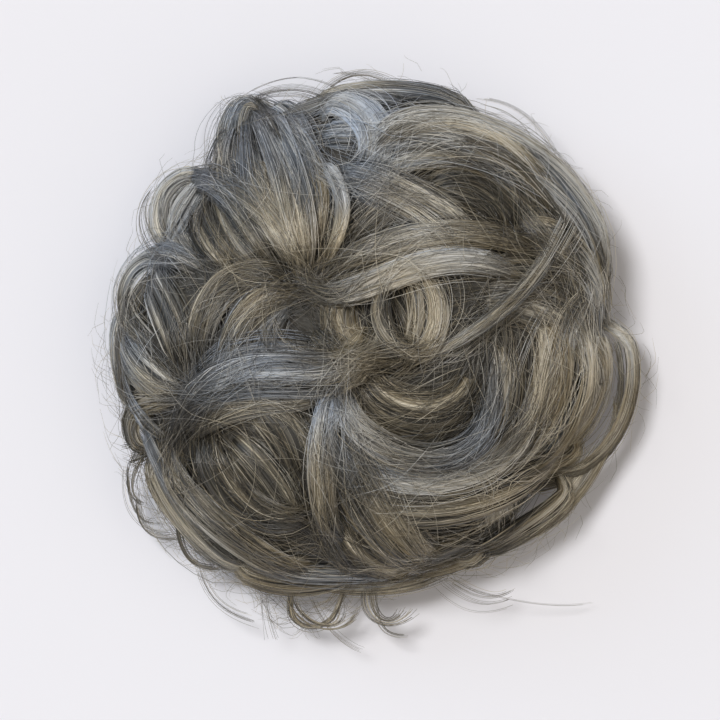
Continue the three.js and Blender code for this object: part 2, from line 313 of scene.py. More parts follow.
stitch_paths = bpy.data.meshes.new("stitch_paths")
stitch_points = []
stitch_edges = []
for share in stitch_rows:
    first = len(stitch_points)
    radius = track_inner + (track_outer - track_inner) * share
    for bearing in np.linspace(0, 2 * math.pi, path_points, endpoint=False):
        x = band_centre.x + radius * math.cos(bearing)
        y = band_centre.y + radius * math.sin(bearing)
        stitch_points.append((x, y, track_low.z + stitch_rise))
        stitch_edges.append((len(stitch_points) - 1, first + (len(stitch_points) - first) % path_points))
stitch_paths.from_pydata(stitch_points, stitch_edges, [])
stitches = grown(
    "weft_stitches", stitch_paths, stitch_tree(),
    {"Pitch": stitch_pitch, "Length": stitch_length, "Radius": stitch_radius, "Thread": sewing_thread()},
)
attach(stitches, "root")

# The base of hair. Coarse hair folded and padded into a dome over the weft, with a hollow left
# under it for the wearer's own knot. It is darker than the locks, which lie over it and shade it.
spread = 0.070
base_outline = [0.91, 0.95, 0.98, 0.97, 0.92, 0.85, 0.95, 0.93, 0.97, 0.9, 0.86, 0.82]
equator_height = 0.019
crown_rise = 0.032
crown_roundness = 2.3
belly_clearance = 0.001
pocket_height = 0.030
pocket_roundness = 3
pocket_radius = band_outer - band_thickness
seat_radius = track_outer + track_clearance
ledge_height = track_high.z + track_clearance
crown_rows = 19
belly_rows = 9
seat_rows = 4
pocket_rows = 8
base_columns = 144
groove_depth = 0.0005
under_locks = 0.0008


def smooth(value):
    """Eases from 0 to 1 as a value goes from 0 to 1."""
    value = np.clip(value, 0, 1)
    return value * value * (3 - 2 * value)


def base_reach(bearing):
    """How far the base of hair reaches from the band's axis at each bearing."""
    count = len(base_outline)
    turns = np.mod(bearing / (2 * math.pi) * count, count)
    before = np.floor(turns).astype(int) % count
    ease = smooth(turns - np.floor(turns))
    outline = np.array(base_outline)
    return spread * (outline[before] * (1 - ease) + outline[(before + 1) % count] * ease)


def base_profile():
    """Rows of the base from its top, over its widest place and under, to the top of its hollow."""
    rows = []
    for angle in np.linspace(math.pi / 2, 0, crown_rows + 1)[1:]:
        rows.append((math.cos(angle) ** (2 / crown_roundness), 0.0,
                     equator_height + crown_rise * math.sin(angle) ** (2 / crown_roundness)))
    for angle in np.linspace(0, math.pi / 2, belly_rows + 1)[1:]:
        rows.append((max(math.cos(angle), 0.0), seat_radius,
                     equator_height - (equator_height - belly_clearance) * math.sin(angle)))
    for height in np.linspace(belly_clearance, ledge_height, seat_rows + 1)[1:]:
        rows.append((0.0, seat_radius, height))
    for angle in np.linspace(0, math.pi / 2, pocket_rows + 1)[:-1]:
        rows.append((0.0, pocket_radius * math.cos(angle) ** (2 / pocket_roundness),
                     ledge_height + (pocket_height - ledge_height)
                     * math.sin(angle) ** (2 / pocket_roundness)))
    return rows


def base_mesh():
    """The dome of hair with its hollow, a closed skin with shallow grooves where it is combed."""
    rows = base_profile()
    bearing = np.linspace(0, 2 * math.pi, base_columns, endpoint=False)
    reach = base_reach(bearing) - under_locks
    points = [(band_centre.x, band_centre.y, equator_height + crown_rise - under_locks)]
    for share, inner, height in rows:
        radius = inner + (reach - inner) * share
        comb = np.sin(bearing * 63 + height * 260) + np.sin(bearing * 41 - height * 340 + 1)
        radius = radius - groove_depth * share * (1 + comb / 2)
        points += list(zip(band_centre.x + radius * np.cos(bearing),
                           band_centre.y + radius * np.sin(bearing),
                           np.full(base_columns, height)))
    points.append((band_centre.x, band_centre.y, pocket_height))
    faces = []
    for j in range(base_columns):
        faces.append((0, 1 + j, 1 + (j + 1) % base_columns))
    for i in range(len(rows) - 1):
        here, there = 1 + i * base_columns, 1 + (i + 1) * base_columns
        for j in range(base_columns):
            after = (j + 1) % base_columns
            faces.append((here + j, there + j, there + after, here + after))
    last = 1 + (len(rows) - 1) * base_columns
    for j in range(base_columns):
        faces.append((last + j, len(points) - 1, last + (j + 1) % base_columns))
    mesh = bpy.data.meshes.new("base_of_hair")
    mesh.from_pydata(points, [], faces)
    mesh.shade_smooth()
    return mesh


def shaded_material():
    """Hair combed round the dome, painted dark as the shade under the locks: streaks that run up and over it,
    turning as they rise.
    """
    material, tree, shader = new_finish("shaded_base_hair", 0.55)
    place = Wire.add(tree, "ShaderNodeTexCoord", output=3)
    height = Wire.add(tree, "ShaderNodeSeparateXYZ", sockets={"Vector": place}, output=2)
    turned = Wire.add(
        tree, "ShaderNodeVectorRotate", {"rotation_type": "Z_AXIS"},
        {"Vector": place, "Angle": height * 28.0},
    )
    flat = Wire.add(
        tree, "ShaderNodeVectorMath", {"operation": "MULTIPLY"}, {0: turned, 1: (1.0, 1.0, 0.04)}
    )
    round_place = Wire.add(tree, "ShaderNodeVectorMath", {"operation": "NORMALIZE"}, {0: flat})
    coarse = Wire.add(tree, "ShaderNodeTexNoise", sockets={"Vector": round_place, "Scale": 34.0})
    fine = Wire.add(tree, "ShaderNodeTexNoise", sockets={"Vector": round_place, "Scale": 150.0})
    Wire.add(
        tree, "ShaderNodeValToRGB",
        {"stops": [(0.3, (0.012, 0.011, 0.009, 1)), (0.52, (0.045, 0.041, 0.034, 1)),
                   (0.75, (0.115, 0.108, 0.092, 1))]},
        {"Fac": coarse * 0.45 + fine * 0.55},
    ).into(shader, "Base Color")
    Wire.add(
        tree, "ShaderNodeBump",
        sockets={"Height": coarse * 0.6 + fine * 0.4, "Strength": 0.8, "Distance": 0.0006},
    ).into(shader, "Normal")
    return material


base = put_in_scene("base_of_hair", base_mesh())
base.data.materials.append(shaded_material())
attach(base, "root")
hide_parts("hair_base")

# The locks that are one with the base. Curled hair in olive, ash, beige and blue grey, with painted
# highlights and painted shade in its colour, sewn to the weft and wound round the dome. A lock is a close
# mass of fine hair, with single strands over it.
lock_flatness = 0.5
tuck = 0.0057
tuck_share = 0.22
lean = 0.35
outward_drop = 0.4
strand_thickness = 0.00019
strand_sides = 3
strand_clearance = 0.0006
line_stations = 48
step_length = 0.006
step_turn = 13
fewest_steps, most_steps = 7, 17
tip_roundness = 2.4
wisp_width = 0.0006
fewest_wisps, most_wisps = 4, 12
root_share = (0, 0.08)
tip_share = (0, 0.12)
pinch_depth = (0.2, 0.75)
pinch_place = (0.3, 0.9)
wisp_spread = 1.7
turn_wander = 0.12
strand_depth = (-0.04, 0.08)
wave_depth = (0.00003, 0.00016)
wave_length = (0.035, 0.08)
stray_share = 0.2
stray_lift = (0.0001, 0.0012)
stray_drift = 0.5
stray_thinness = 0.7
strand_girth = (0.7, 1.25)
end_girth = 0.35
taper_share = 0.12
# Painted shade at the ends of a lock, where they tuck under other locks: how light the very ends stay, and
# over what share of the length
shaded_end_lightness = 0.6
shaded_end_share = 0.16
mass_start, mass_stop = 0.01, 0.99
mass_share = 0.95
mass_sides = 26
extra_mass_rows = 8
low_density = 5400

# How far wisps and strands differ in warmth, coolness and lightness, and the share of strands given a painted
# glint and how much it lightens them
wisp_jitter = (0.18, 0.12, 0.19)
strand_jitter = (0.16, 0.1, 0.19)
painted_glint_share, shine = 0.07, 0.35

# Warmth, coolness and lightness of each tone of hair: the real olive, ash, beige and blue grey, with painted
# light in it. Pale, silver, frost and sky are painted highlights, dark and slate are painted shade, and the
# blue of the cool words is partly the cool fill's painted cast
tones_and_painted_light = {
    "ash": (0.27, 0.17, 0.42),
    "beige": (0.84, 0.03, 0.64),
    "steel": (0.05, 0.67, 0.5),
    "pale": (0.74, 0.12, 0.9),
    "silver": (0.38, 0.38, 0.85),
    "frost": (0.1, 0.6, 0.8),
    "sky": (0.0, 0.85, 0.7),
    "slate": (0.1, 0.5, 0.3),
    "sand": (0.7, 0.05, 0.49),
    "brown": (1.0, 0.0, 0.33),
    "olive": (0.52, 0.04, 0.26),
    "dark": (0.35, 0.0, 0.12),
}

# Name, width, the four places that the lock passes over, and its tones from start to end, painted highlights
# and shade among them
low_locks = [
    ("left_bump", 0.135, [(-0.6, 0.71), (-0.765, 0.65), (-0.825, 0.52), (-0.78, 0.34)],
     "silver silver silver ash"),
    ("left_veil", 0.15, [(-0.6, 0.7), (-0.72, 0.58), (-0.76, 0.44), (-0.68, 0.3)],
     "steel silver silver silver dark"),
    ("left_drape", 0.15, [(-0.96, 0.16), (-0.93, 0), (-0.84, -0.13), (-0.69, -0.22)],
     "steel steel ash ash"),
    ("left_edge", 0.105, [(-0.95, 0.22), (-0.995, 0.02), (-0.965, -0.16), (-0.91, -0.32)],
     "steel frost ash ash"),
    ("left_bulge", 0.12, [(-0.68, -0.21), (-0.88, -0.23), (-0.93, -0.35), (-0.83, -0.47)],
     "ash sand ash brown"),
    ("lower_left_edge", 0.16, [(-0.89, -0.4), (-0.8, -0.6), (-0.63, -0.8), (-0.39, -0.95)],
     "olive sand sand ash sand"),
    ("lower_left_cross", 0.16, [(-0.68, -0.32), (-0.48, -0.25), (-0.3, -0.31), (-0.2, -0.48)],
     "dark dark dark"),
    ("bottom_edge", 0.135, [(-0.6, -0.84), (-0.4, -0.95), (-0.18, -0.96), (0.05, -0.89)],
     "brown brown brown brown"),
    ("bottom_curl", 0.035, [(-0.31, -0.98), (-0.27, -1.11), (-0.17, -1.12), (-0.08, -1.01)], "brown sand"),
    ("front_dark", 0.175, [(-0.12, -0.61), (-0.06, -0.78), (0.06, -0.88), (0.24, -0.91)],
     "olive olive dark brown brown"),
    ("curl_bowl", 0.215, [(-0.02, -0.07), (0.08, -0.24), (0.3, -0.26), (0.46, -0.03)],
     "dark olive dark dark"),
    ("curl_inside", 0.135, [(0.52, 0.06), (0.56, -0.13), (0.53, -0.3), (0.41, -0.44)],
     "olive ash ash olive"),
    ("lower_right_fall", 0.175, [(0.45, -0.52), (0.52, -0.65), (0.47, -0.8), (0.32, -0.91)],
     "beige pale sand beige"),
    ("right_cap", 0.135, [(0.88, -0.34), (0.8, -0.46), (0.65, -0.52), (0.44, -0.54)], "beige sand olive"),
    ("right_drop", 0.17, [(0.72, 0.18), (0.75, -0.02), (0.72, -0.22), (0.59, -0.4)],
     "sand beige beige sand"),
    ("right_bridge", 0.175, [(0.42, 0.18), (0.62, 0.18), (0.81, 0.11), (0.9, -0.08)],
     "olive ash ash ash sand"),
    ("outer_edge", 0.145, [(0.43, 0.97), (0.755, 0.69), (0.925, 0.4), (0.96, 0.1)],
     "ash silver ash silver"),
    ("top_edge", 0.135, [(-0.28, 0.96), (-0.05, 1.01), (0.24, 1.01), (0.56, 0.88)],
     "silver silver steel ash"),
    ("top_back", 0.135, [(-0.24, 0.85), (-0.04, 0.84), (0.16, 0.88), (0.42, 0.91)],
     "steel steel steel steel"),
    ("notch_lock", 0.135, [(-0.4, 0.95), (-0.32, 0.92), (-0.25, 0.83), (-0.21, 0.71)], "steel steel ash"),
    ("centre_left", 0.145, [(-0.06, 0.24), (-0.1, 0.15), (-0.08, 0.04), (0.03, -0.03)],
     "olive olive sand sand"),
]


def on_crown(x, y, outward):
    """Places on the base of hair, or a given distance outside it, with the way up from them."""
    bearing = np.arctan2(y, x)
    distance = np.hypot(x, y)
    reach = base_reach(bearing) + outward
    share = np.minimum(distance / reach, 1)
    rise = (1 - share ** crown_roundness) ** (1 / crown_roundness)
    beyond = np.maximum(distance - reach, 0)
    height = equator_height + (crown_rise + outward) * rise - beyond * outward_drop
    level = share ** (crown_roundness - 1) / reach
    upright = rise ** (crown_roundness - 1) / (crown_rise + outward)
    normal = np.stack([np.cos(bearing) * level, np.sin(bearing) * level, upright], -1)
    normal /= np.linalg.norm(normal, axis=-1, keepdims=True)
    normal[..., 2] += lean
    normal /= np.linalg.norm(normal, axis=-1, keepdims=True)
    return np.stack([x, y, height], -1), normal


def with_sides(point, normal):
    """A line of places with the directions across it and out from it."""
    tangent = np.gradient(point, axis=0)
    tangent /= np.linalg.norm(tangent, axis=1, keepdims=True)
    side = np.cross(normal, tangent)
    side /= np.linalg.norm(side, axis=1, keepdims=True)
    return point, side, np.cross(tangent, side)


def crown_line(via, half_thickness, outward, dive):
    """The line of a lock over the crown, through four places at even steps, its ends tucked in."""
    t = np.linspace(0, 1, line_stations)[:, None]
    a, b, c, d = np.array(via) * spread
    plan = (
        -4.5 * (t - 1 / 3) * (t - 2 / 3) * (t - 1) * a
        + 13.5 * t * (t - 2 / 3) * (t - 1) * b
        - 13.5 * t * (t - 1 / 3) * (t - 1) * c
        + 4.5 * t * (t - 1 / 3) * (t - 2 / 3) * d
    )
    point, normal = on_crown(plan[:, 0], plan[:, 1], outward)
    end = 1 - smooth(np.minimum(t, 1 - t) / tuck_share)
    point = point - normal * end * dive
    point[:, 2] = np.maximum(point[:, 2], half_thickness + belly_clearance)
    return with_sides(point, normal), outward - end[:, 0] * dive


def steps_along(point):
    """How many places a strand needs to follow a line without corners that show, and its length."""
    steps = np.diff(point, axis=0)
    lengths = np.linalg.norm(steps, axis=1)
    ways = steps / lengths[:, None]
    turning = np.arccos(np.clip((ways[1:] * ways[:-1]).sum(1), -1, 1)).sum()
    needed = max(lengths.sum() / step_length, math.degrees(turning) / step_turn)
    return int(np.clip(needed, fewest_steps, most_steps)), lengths.sum()


def between_ends(t, least, share):
    """Rises from least at both ends of a strand to 1, over a share of its length."""
    return least + (1 - least) * smooth(np.minimum(t, 1 - t) / share)


def tones_along(words, t):
    """The tone at each share of a lock's length, from the words for its tones, with painted shade darkening
    its ends.
    """
    named = np.array([tones_and_painted_light[word] for word in words.split()])
    stops = np.linspace(0, 1, len(named))
    tone = np.stack([np.interp(t, stops, named[:, i]) for i in range(3)], -1)
    # Painted shade: the ends are darkened where they tuck under other locks
    tone[..., 2] *= between_ends(t, shaded_end_lightness, shaded_end_share)
    return tone


class Lock:
    """One lock: the line it lies along, how wide it is, its finishes, and the wisps it parts into."""

    def __init__(self, line, level, half_width, words, seed, twist, end_width=0.5):
        self.point, self.side, self.up = line
        self.level = level
        self.half_width = half_width
        self.words = words
        self.twist = twist
        self.end_width = end_width
        self.seed = seed
        self.rng = np.random.default_rng(seed)
        self.steps, self.length = steps_along(self.point)
        self.wisps = int(np.clip(half_width / wisp_width, fewest_wisps, most_wisps))
        turns = np.linspace(-0.2, math.pi + 0.2, self.wisps)
        self.wisp_turn = turns + self.rng.normal(0, 0.12, self.wisps)
        self.wisp_depth = self.rng.uniform(0.96, 1.1, self.wisps)
        self.wisp_tone = self.rng.normal(0, 1, (self.wisps, 3)) * wisp_jitter

    def at(self, values, t):
        """Places or directions of the line, at shares of its length."""
        stations = np.linspace(0, 1, len(values))
        return np.stack([np.interp(t, stations, values[:, i]) for i in range(3)], -1)

    def fullness(self, t):
        """How wide the lock is at each share of its length, next to its middle."""
        full = (1 - np.abs(2 * t - 1) ** tip_roundness) ** (1 / tip_roundness)
        return np.maximum(full, self.end_width)

    def place(self, t, across, out):
        """Places beside the line and above it, kept off the surface that the piece lies on."""
        places = self.at(self.point, t)
        places += self.at(self.side, t) * across[..., None] + self.at(self.up, t) * out[..., None]
        places[..., 2] = np.maximum(places[..., 2], strand_clearance)
        return places

    def strands(self, count):
        """Strands over the mass of the lock: their places, tones and girths, by strand and step."""
        rng, half_width = self.rng, self.half_width
        start = rng.uniform(*root_share, (count, 1))
        stop = 1 - rng.uniform(*tip_share, (count, 1))
        t = start + (stop - start) * np.linspace(0, 1, self.steps)
        wisp = rng.integers(0, self.wisps, count)
        pinch = 1 - rng.uniform(*pinch_depth, self.wisps)[wisp][:, None] * np.cos(
            math.pi * (t - rng.uniform(*pinch_place, self.wisps)[wisp][:, None])
        ) ** 2
        own_turn = rng.normal(0, wisp_spread / self.wisps, (count, 1))
        turn = self.wisp_turn[wisp][:, None] + own_turn * pinch + self.twist * (t - 0.5)
        turn += rng.normal(0, turn_wander, (count, 1)) * np.cos(math.pi * t)
        depth = self.wisp_depth[wisp][:, None] + rng.uniform(*strand_depth, (count, 1))
        full = self.fullness(t)
        across = np.cos(turn) * depth * half_width * full
        out = np.sin(turn) * depth * half_width * lock_flatness * full
        wave = rng.uniform(*wave_depth, (count, 1))
        bends = self.length / rng.uniform(*wave_length, (count, 1))
        across += wave * np.sin(2 * math.pi * (bends * t + rng.random((count, 1))))
        out += 0.5 * wave * np.sin(2 * math.pi * (bends * t + rng.random((count, 1))))
        stray = rng.random((count, 1)) < stray_share
        lift = np.where(stray, rng.uniform(*stray_lift, (count, 1)), 0)
        drift = np.where(stray, rng.normal(0, stray_drift * half_width, (count, 1)), 0)
        out += lift * np.sin(math.pi * t)
        across += drift * (2 * t - 1) + drift * rng.normal(0, 1, (count, 1)) * np.sin(math.pi * t)
        tone = tones_along(self.words, t) + self.wisp_tone[wisp][:, None, :]
        tone = tone + (rng.normal(0, 1, (count, 3)) * strand_jitter)[:, None, :]
        # Painted glints: a few strands made much lighter, as if they caught the light
        tone[..., 2] += np.where(rng.random((count, 1)) < painted_glint_share, shine, 0)
        taper = end_girth + (1 - end_girth) * smooth(np.minimum(t - start, stop - t) / taper_share)
        girth = rng.uniform(*strand_girth, (count, 1)) * np.where(stray, stray_thinness, 1.0) * taper
        return self.place(t, across, out), tone, girth

    def mass(self):
        """The close hair of the lock: a closed body with the lie of its hair in an attribute."""
        rows = self.steps + extra_mass_rows
        t = np.linspace(mass_start, mass_stop, rows)[:, None]
        turn = np.linspace(0, 2 * math.pi, mass_sides, endpoint=False)[None, :]
        turned = turn + self.twist * (t - 0.5)
        wisp = np.abs(turn - self.wisp_turn[:, None, None])
        nearest = np.minimum(wisp, 2 * math.pi - wisp).min(0)
        relief = 1.03 - 0.16 * np.clip(nearest / (math.pi / self.wisps), 0, 1)
        swell = 1 + 0.05 * np.sin(3 * turn + 5 * t + self.seed) + 0.03 * np.sin(2 * turn - 9 * t)
        size = mass_share * self.half_width * self.fullness(t) * relief * swell
        cap = np.sqrt(np.clip(np.minimum(t - mass_start, mass_stop - t) / 0.05, 0, 1)) * 0.92 + 0.08
        across = np.cos(turned) * size * cap
        out = np.sin(turned) * size * cap * lock_flatness
        t_all = t + np.zeros_like(turned)
        places = self.place(t_all, across, out)
        tips = self.place(np.array([0.008, 0.992]), np.zeros(2), np.zeros(2))
        vertices = np.concatenate([tips[:1], places.reshape(-1, 3), tips[1:]])
        tone = tones_along(self.words, t_all)
        tone = tone + self.wisp_tone[np.minimum(wisp, 2 * math.pi - wisp).argmin(0)] * 0.8
        tone = np.concatenate([tone[:1, 0], tone.reshape(-1, 3), tone[-1:, 0]])
        return vertices, tone, rows


def mass_mesh(name, locks, low_share):
    """The masses of some locks as one mesh, with attributes for tone and for the lie of the hair."""
    points, tones, lies, faces, map_places = [], [], [], [], []
    first = 0
    for number, lock in enumerate(locks):
        vertices, tone, rows = lock.mass()
        points.append(vertices)
        tones.append(tone)
        band = (1 - low_share) / len(locks)
        last = len(vertices) - 1
        for i in range(-1, rows):
            for j in range(mass_sides):
                around = [j, j + 1]
                here = [first + 1 + i * mass_sides + k % mass_sides for k in around]
                there = [first + 1 + (i + 1) * mass_sides + k % mass_sides for k in around]
                if i == -1:
                    face, steps = [first, there[1], there[0]], [(0, j), (1, j + 1), (1, j)]
                elif i == rows - 1:
                    face = [here[0], here[1], first + last]
                    steps = [(rows, j), (rows, j + 1), (rows + 1, j)]
                else:
                    face = [here[0], here[1], there[1], there[0]]
                    steps = [(i + 1, j), (i + 1, j + 1), (i + 2, j + 1), (i + 2, j)]
                faces.append(face)
                for row, turn in steps:
                    lies.append((lock.length * row / (rows + 1), 3.1 * lock.half_width * turn / mass_sides,
                                 0.37 * lock.seed))
                    map_places.append((0.01 + 0.98 * row / (rows + 1),
                                       low_share + band * (number + 0.05 + 0.9 * turn / mass_sides)))
        first += len(vertices)
    mesh = bpy.data.meshes.new(name)
    points = np.concatenate(points) + (band_centre.x, band_centre.y, 0)
    mesh.from_pydata(points.tolist(), [], faces)
    mesh.shade_smooth()
    mesh.attributes.new("tone", "FLOAT_VECTOR", "POINT").data.foreach_set(
        "vector", np.clip(np.concatenate(tones), 0, 1).ravel()
    )
    mesh.attributes.new("lie", "FLOAT_VECTOR", "CORNER").data.foreach_set("vector", np.ravel(lies))
    mesh.uv_layers.new(name="OFBake").data.foreach_set("uv", np.ravel(map_places))
    mesh.materials.append(close_hair)
    return mesh


def strand_tree():
    """Gives every line of a mesh a closed round body, as thick at each place as its girth says."""
    tree, lines, thickness, sides, finish = open_tree(
        "strands_of_hair",
        {"Lines": "Geometry", "Thickness": "Float", "Sides": "Int", "Finish": "Material"}, "Strands",
    )
    girth = Wire.add(
        tree, "GeometryNodeInputNamedAttribute", {"data_type": "FLOAT"}, {"Name": "girth"}
    )
    curve = Wire.add(tree, "GeometryNodeMeshToCurve", sockets={"Mesh": lines})
    ring = Wire.add(
        tree, "GeometryNodeCurvePrimitiveCircle", {"mode": "RADIUS"},
        {"Resolution": sides, "Radius": thickness * 0.5},
    )
    place = Wire.add(tree, "GeometryNodeInputIndex")
    marked = Wire.add(
        tree, "GeometryNodeStoreNamedAttribute", {"data_type": "INT", "domain": "POINT"},
        {"Geometry": ring, "Name": "around", "Value": place},
    )
    tube = Wire.add(
        tree, "GeometryNodeCurveToMesh",
        sockets={"Curve": curve, "Profile Curve": marked, "Scale": girth, "Fill Caps": True},
    )
    return close_tree(tree, tube, finish)


olive_grey = (0.122, 0.114, 0.094, 1)
warm_beige = (0.345, 0.280, 0.170, 1)
blue_grey = (0.153, 0.187, 0.243, 1)
# Painted shade: near black, mixed in where the hair's lightness is low, in the partings and hollows between
# locks
painted_parting_shade = (0.016, 0.014, 0.010, 1)
# Painted highlights: the warm key's and the cool fill's highlights on the hair, mixed in where its lightness
# is high
warm_painted_highlight = (0.70, 0.63, 0.49, 1)
cool_painted_highlight = (0.53, 0.61, 0.74, 1)
tone_contrast = 2.2
hair_ior = 1.55


def hair_colour(tree, streak):
    """Olive grey, beige and blue grey, mixed as the tone attribute says, with painted shade where its
    lightness is low, in the partings, and painted highlights where it is high.
    """
    tone = Wire.add(tree, "ShaderNodeAttribute", {"attribute_name": "tone"}, output=1)
    split = Wire.add(tree, "ShaderNodeSeparateXYZ", sockets={"Vector": tone})
    warmth, coolness, lightness = (Wire(tree, s) for s in split.socket.node.outputs)
    lightness = lightness + (streak - 0.5) * 0.9

    def mixed(share, first, second):
        return Wire.add(
            tree, "ShaderNodeMix", {"data_type": "RGBA", "clamp_factor": True},
            {0: share, 6: first, 7: second}, output=2,
        )

    hair = mixed(warmth, olive_grey, warm_beige)
    hair = mixed(coolness, hair, blue_grey)
    # Low lightness mixes in painted shade, high lightness a painted highlight
    hair = mixed(1 - lightness * tone_contrast, hair, painted_parting_shade)
    # Painted highlight colour, warm or cool as the hair's coolness says
    light = mixed(coolness, warm_painted_highlight, cool_painted_highlight)
    return mixed(lightness * tone_contrast - tone_contrast / 2, hair, light)


def strand_material():
    """Single strands: smooth fibre with a soft shine, a little lighter and darker from place to place."""
    material, tree, shader = new_finish("ash_hair_strands", 0.3)
    place = Wire.add(tree, "ShaderNodeTexCoord", output=3)
    grain = Wire.add(tree, "ShaderNodeTexNoise", sockets={"Vector": place, "Scale": 50.0})
    hair_colour(tree, grain * 0.6 + 0.2).into(shader, "Base Color")
    (grain * 0.2 + 0.2).into(shader, "Roughness")
    shader.inputs["IOR"].default_value = hair_ior
    shader.inputs["Specular IOR Level"].default_value = 0.9
    return material


def close_material():
    """Hair too fine to model: its streaks run along the lock, wide wisps and single hairs."""
    material, tree, shader = new_finish("ash_hair_close", 0.45)
    lie = Wire.add(tree, "ShaderNodeAttribute", {"attribute_name": "lie"}, output=1)

    def streaks(along, across):
        stretched = Wire.add(
            tree, "ShaderNodeVectorMath", {"operation": "MULTIPLY"}, {0: lie, 1: (along, across, 1.0)}
        )
        return Wire.add(
            tree, "ShaderNodeTexNoise", sockets={"Vector": stretched, "Scale": 1.0, "Detail": 0.0}
        )

    wisps = streaks(16.0, 800.0)
    hairs = streaks(22.0, 3900.0)
    streak = wisps * 0.75 + hairs * 0.65 - 0.2
    hair_colour(tree, (streak - 0.5) * 2.1 + 0.42).into(shader, "Base Color")
    (hairs * 0.3 + 0.3).into(shader, "Roughness")
    Wire.add(
        tree, "ShaderNodeBump", sockets={"Height": streak, "Strength": 1.0, "Distance": 0.0003}
    ).into(shader, "Normal")
    shader.inputs["IOR"].default_value = hair_ior
    shader.inputs["Specular IOR Level"].default_value = 0.5
    return material


ash_hair = strand_material()
close_hair = close_material()
strands_of_hair = strand_tree()
strand_share = 0.6
strip_columns = 4


def strand_piece(name, parts, high_share=1.0):
    """Makes a piece of many strands, each with a strip of its own in the map for its finish."""
    points, edges, tones, girths, alongs, owners = [], [], [], [], [], []
    first = 0
    count = 0
    for places, tone, girth in parts:
        strands, steps = girth.shape
        index = first + np.arange(strands * steps).reshape(strands, steps)
        edges.append(np.stack([index[:, :-1].ravel(), index[:, 1:].ravel()], -1))
        points.append(places.reshape(-1, 3))
        tones.append(tone.reshape(-1, 3))
        girths.append(girth.ravel())
        alongs.append(np.tile(np.linspace(0, 1, steps), strands))
        owners.append(np.repeat(count + np.arange(strands), steps))
        first += strands * steps
        count += strands
    points = np.concatenate(points) + (band_centre.x, band_centre.y, 0)
    lines = bpy.data.meshes.new(name + "_lines")
    lines.from_pydata(points.tolist(), np.concatenate(edges).tolist(), [])
    for label, kind, field, values in [
        ("tone", "FLOAT_VECTOR", "vector", np.clip(np.concatenate(tones), 0, 1)),
        ("girth", "FLOAT", "value", np.concatenate(girths)),
        ("along", "FLOAT", "value", np.concatenate(alongs)),
        ("strand", "INT", "value", np.concatenate(owners)),
    ]:
        lines.attributes.new(label, kind, "POINT").data.foreach_set(field, values.ravel())
    piece = grown(
        name, lines, strands_of_hair,
        {"Thickness": strand_thickness, "Sides": strand_sides, "Finish": ash_hair},
    )
    lay_out_strips(piece.data, count, high_share)
    return piece


def lay_out_strips(mesh, count, high_share):
    """Gives each strand a strip of the map, in four columns, and drops what the strips were read from."""
    def read(label, kind):
        values = np.zeros(len(mesh.vertices), kind)
        mesh.attributes[label].data.foreach_get("value", values)
        return values

    along, around, owner = read("along", np.float32), read("around", np.int32), read("strand", np.int32)
    corner = np.zeros(len(mesh.loops), np.int32)
    mesh.loops.foreach_get("vertex_index", corner)
    begins = np.zeros(len(mesh.polygons), np.int32)
    mesh.polygons.foreach_get("loop_start", begins)
    turn = around[corner].astype(float)
    highest = np.maximum.reduceat(turn, begins)
    lowest = np.minimum.reduceat(turn, begins)
    spans = np.diff(np.append(begins, len(corner)))
    wraps = np.repeat((highest == strand_sides - 1) & (lowest == 0) & (spans == 4), spans)
    turn[wraps & (turn == 0)] = strand_sides
    rows = math.ceil(count / strip_columns)
    u = (owner[corner] % strip_columns + 0.03 + 0.94 * along[corner]) / strip_columns
    v = (owner[corner] // strip_columns + 0.1 + 0.8 * turn / strand_sides) / rows * high_share
    layer = mesh.uv_layers.new(name="OFBake")
    layer.data.foreach_set("uv", np.stack([u, v], -1).ravel())
    for label in ("around", "strand", "along", "girth"):
        if label in mesh.attributes:
            mesh.attributes.remove(mesh.attributes[label])


def hair_piece(name, locks, density, nodes, extra=()):
    """One piece of hair: the masses of its locks and the strands over them."""
    parts = [lock.strands(round(density * 2 * lock.half_width)) for lock in locks]
    piece = strand_piece(name, parts + list(extra), strand_share)
    mass = put_in_scene(name + "_mass", mass_mesh(name + "_mass", locks, strand_share + 0.01))
    with bpy.context.temp_override(
        object=piece, active_object=piece, selected_objects=[piece, mass],
        selected_editable_objects=[piece, mass],
    ):
        bpy.ops.object.join()
    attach(piece, "root")
    if nodes:
        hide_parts(*nodes)


every_lock = []
for index, (name, wide, via, tones) in enumerate(low_locks):
    half_width = wide * spread / 2
    line, level = crown_line(via, half_width * lock_flatness, 0.0, tuck)
    twist = np.random.default_rng(200 + index).uniform(-0.8, 0.8)
    every_lock.append(Lock(line, level, half_width, tones, 100 + index, twist))
hair_piece("low_locks_hair", every_lock, low_density, ["hair_base"])

# The locks down the sides. Nine curls that start under the crown and wind down round the dome to
# its underside, with loose hair combed between them from the crown to the weft.
side_lock_count = 9
side_lock_width = 0.215
side_lock_span = math.radians(62)
side_lock_top = 0.025
side_lock_foot = 0.0065
side_end_width = 0.6
side_twist = 0.6
side_density = 5000
comb_count = 600
comb_steps = 10


def side_line(index):
    """The line of one side lock, from under the crown round and down to the underside."""
    t = np.linspace(0, 1, line_stations)
    bearing = 2 * math.pi * index / side_lock_count + side_lock_span * t
    height = side_lock_top + (side_lock_foot - side_lock_top) * smooth(t)
    drop = np.clip((equator_height - height) / (equator_height - belly_clearance), 0, 1)
    radius = track_outer + (base_reach(bearing) - track_outer) * np.sqrt(1 - drop ** 2)
    out = np.stack([np.cos(bearing), np.sin(bearing), -drop], -1)
    out /= np.linalg.norm(out, axis=1, keepdims=True)
    point = np.stack([np.cos(bearing) * radius, np.sin(bearing) * radius, height], -1)
    return with_sides(point, out)


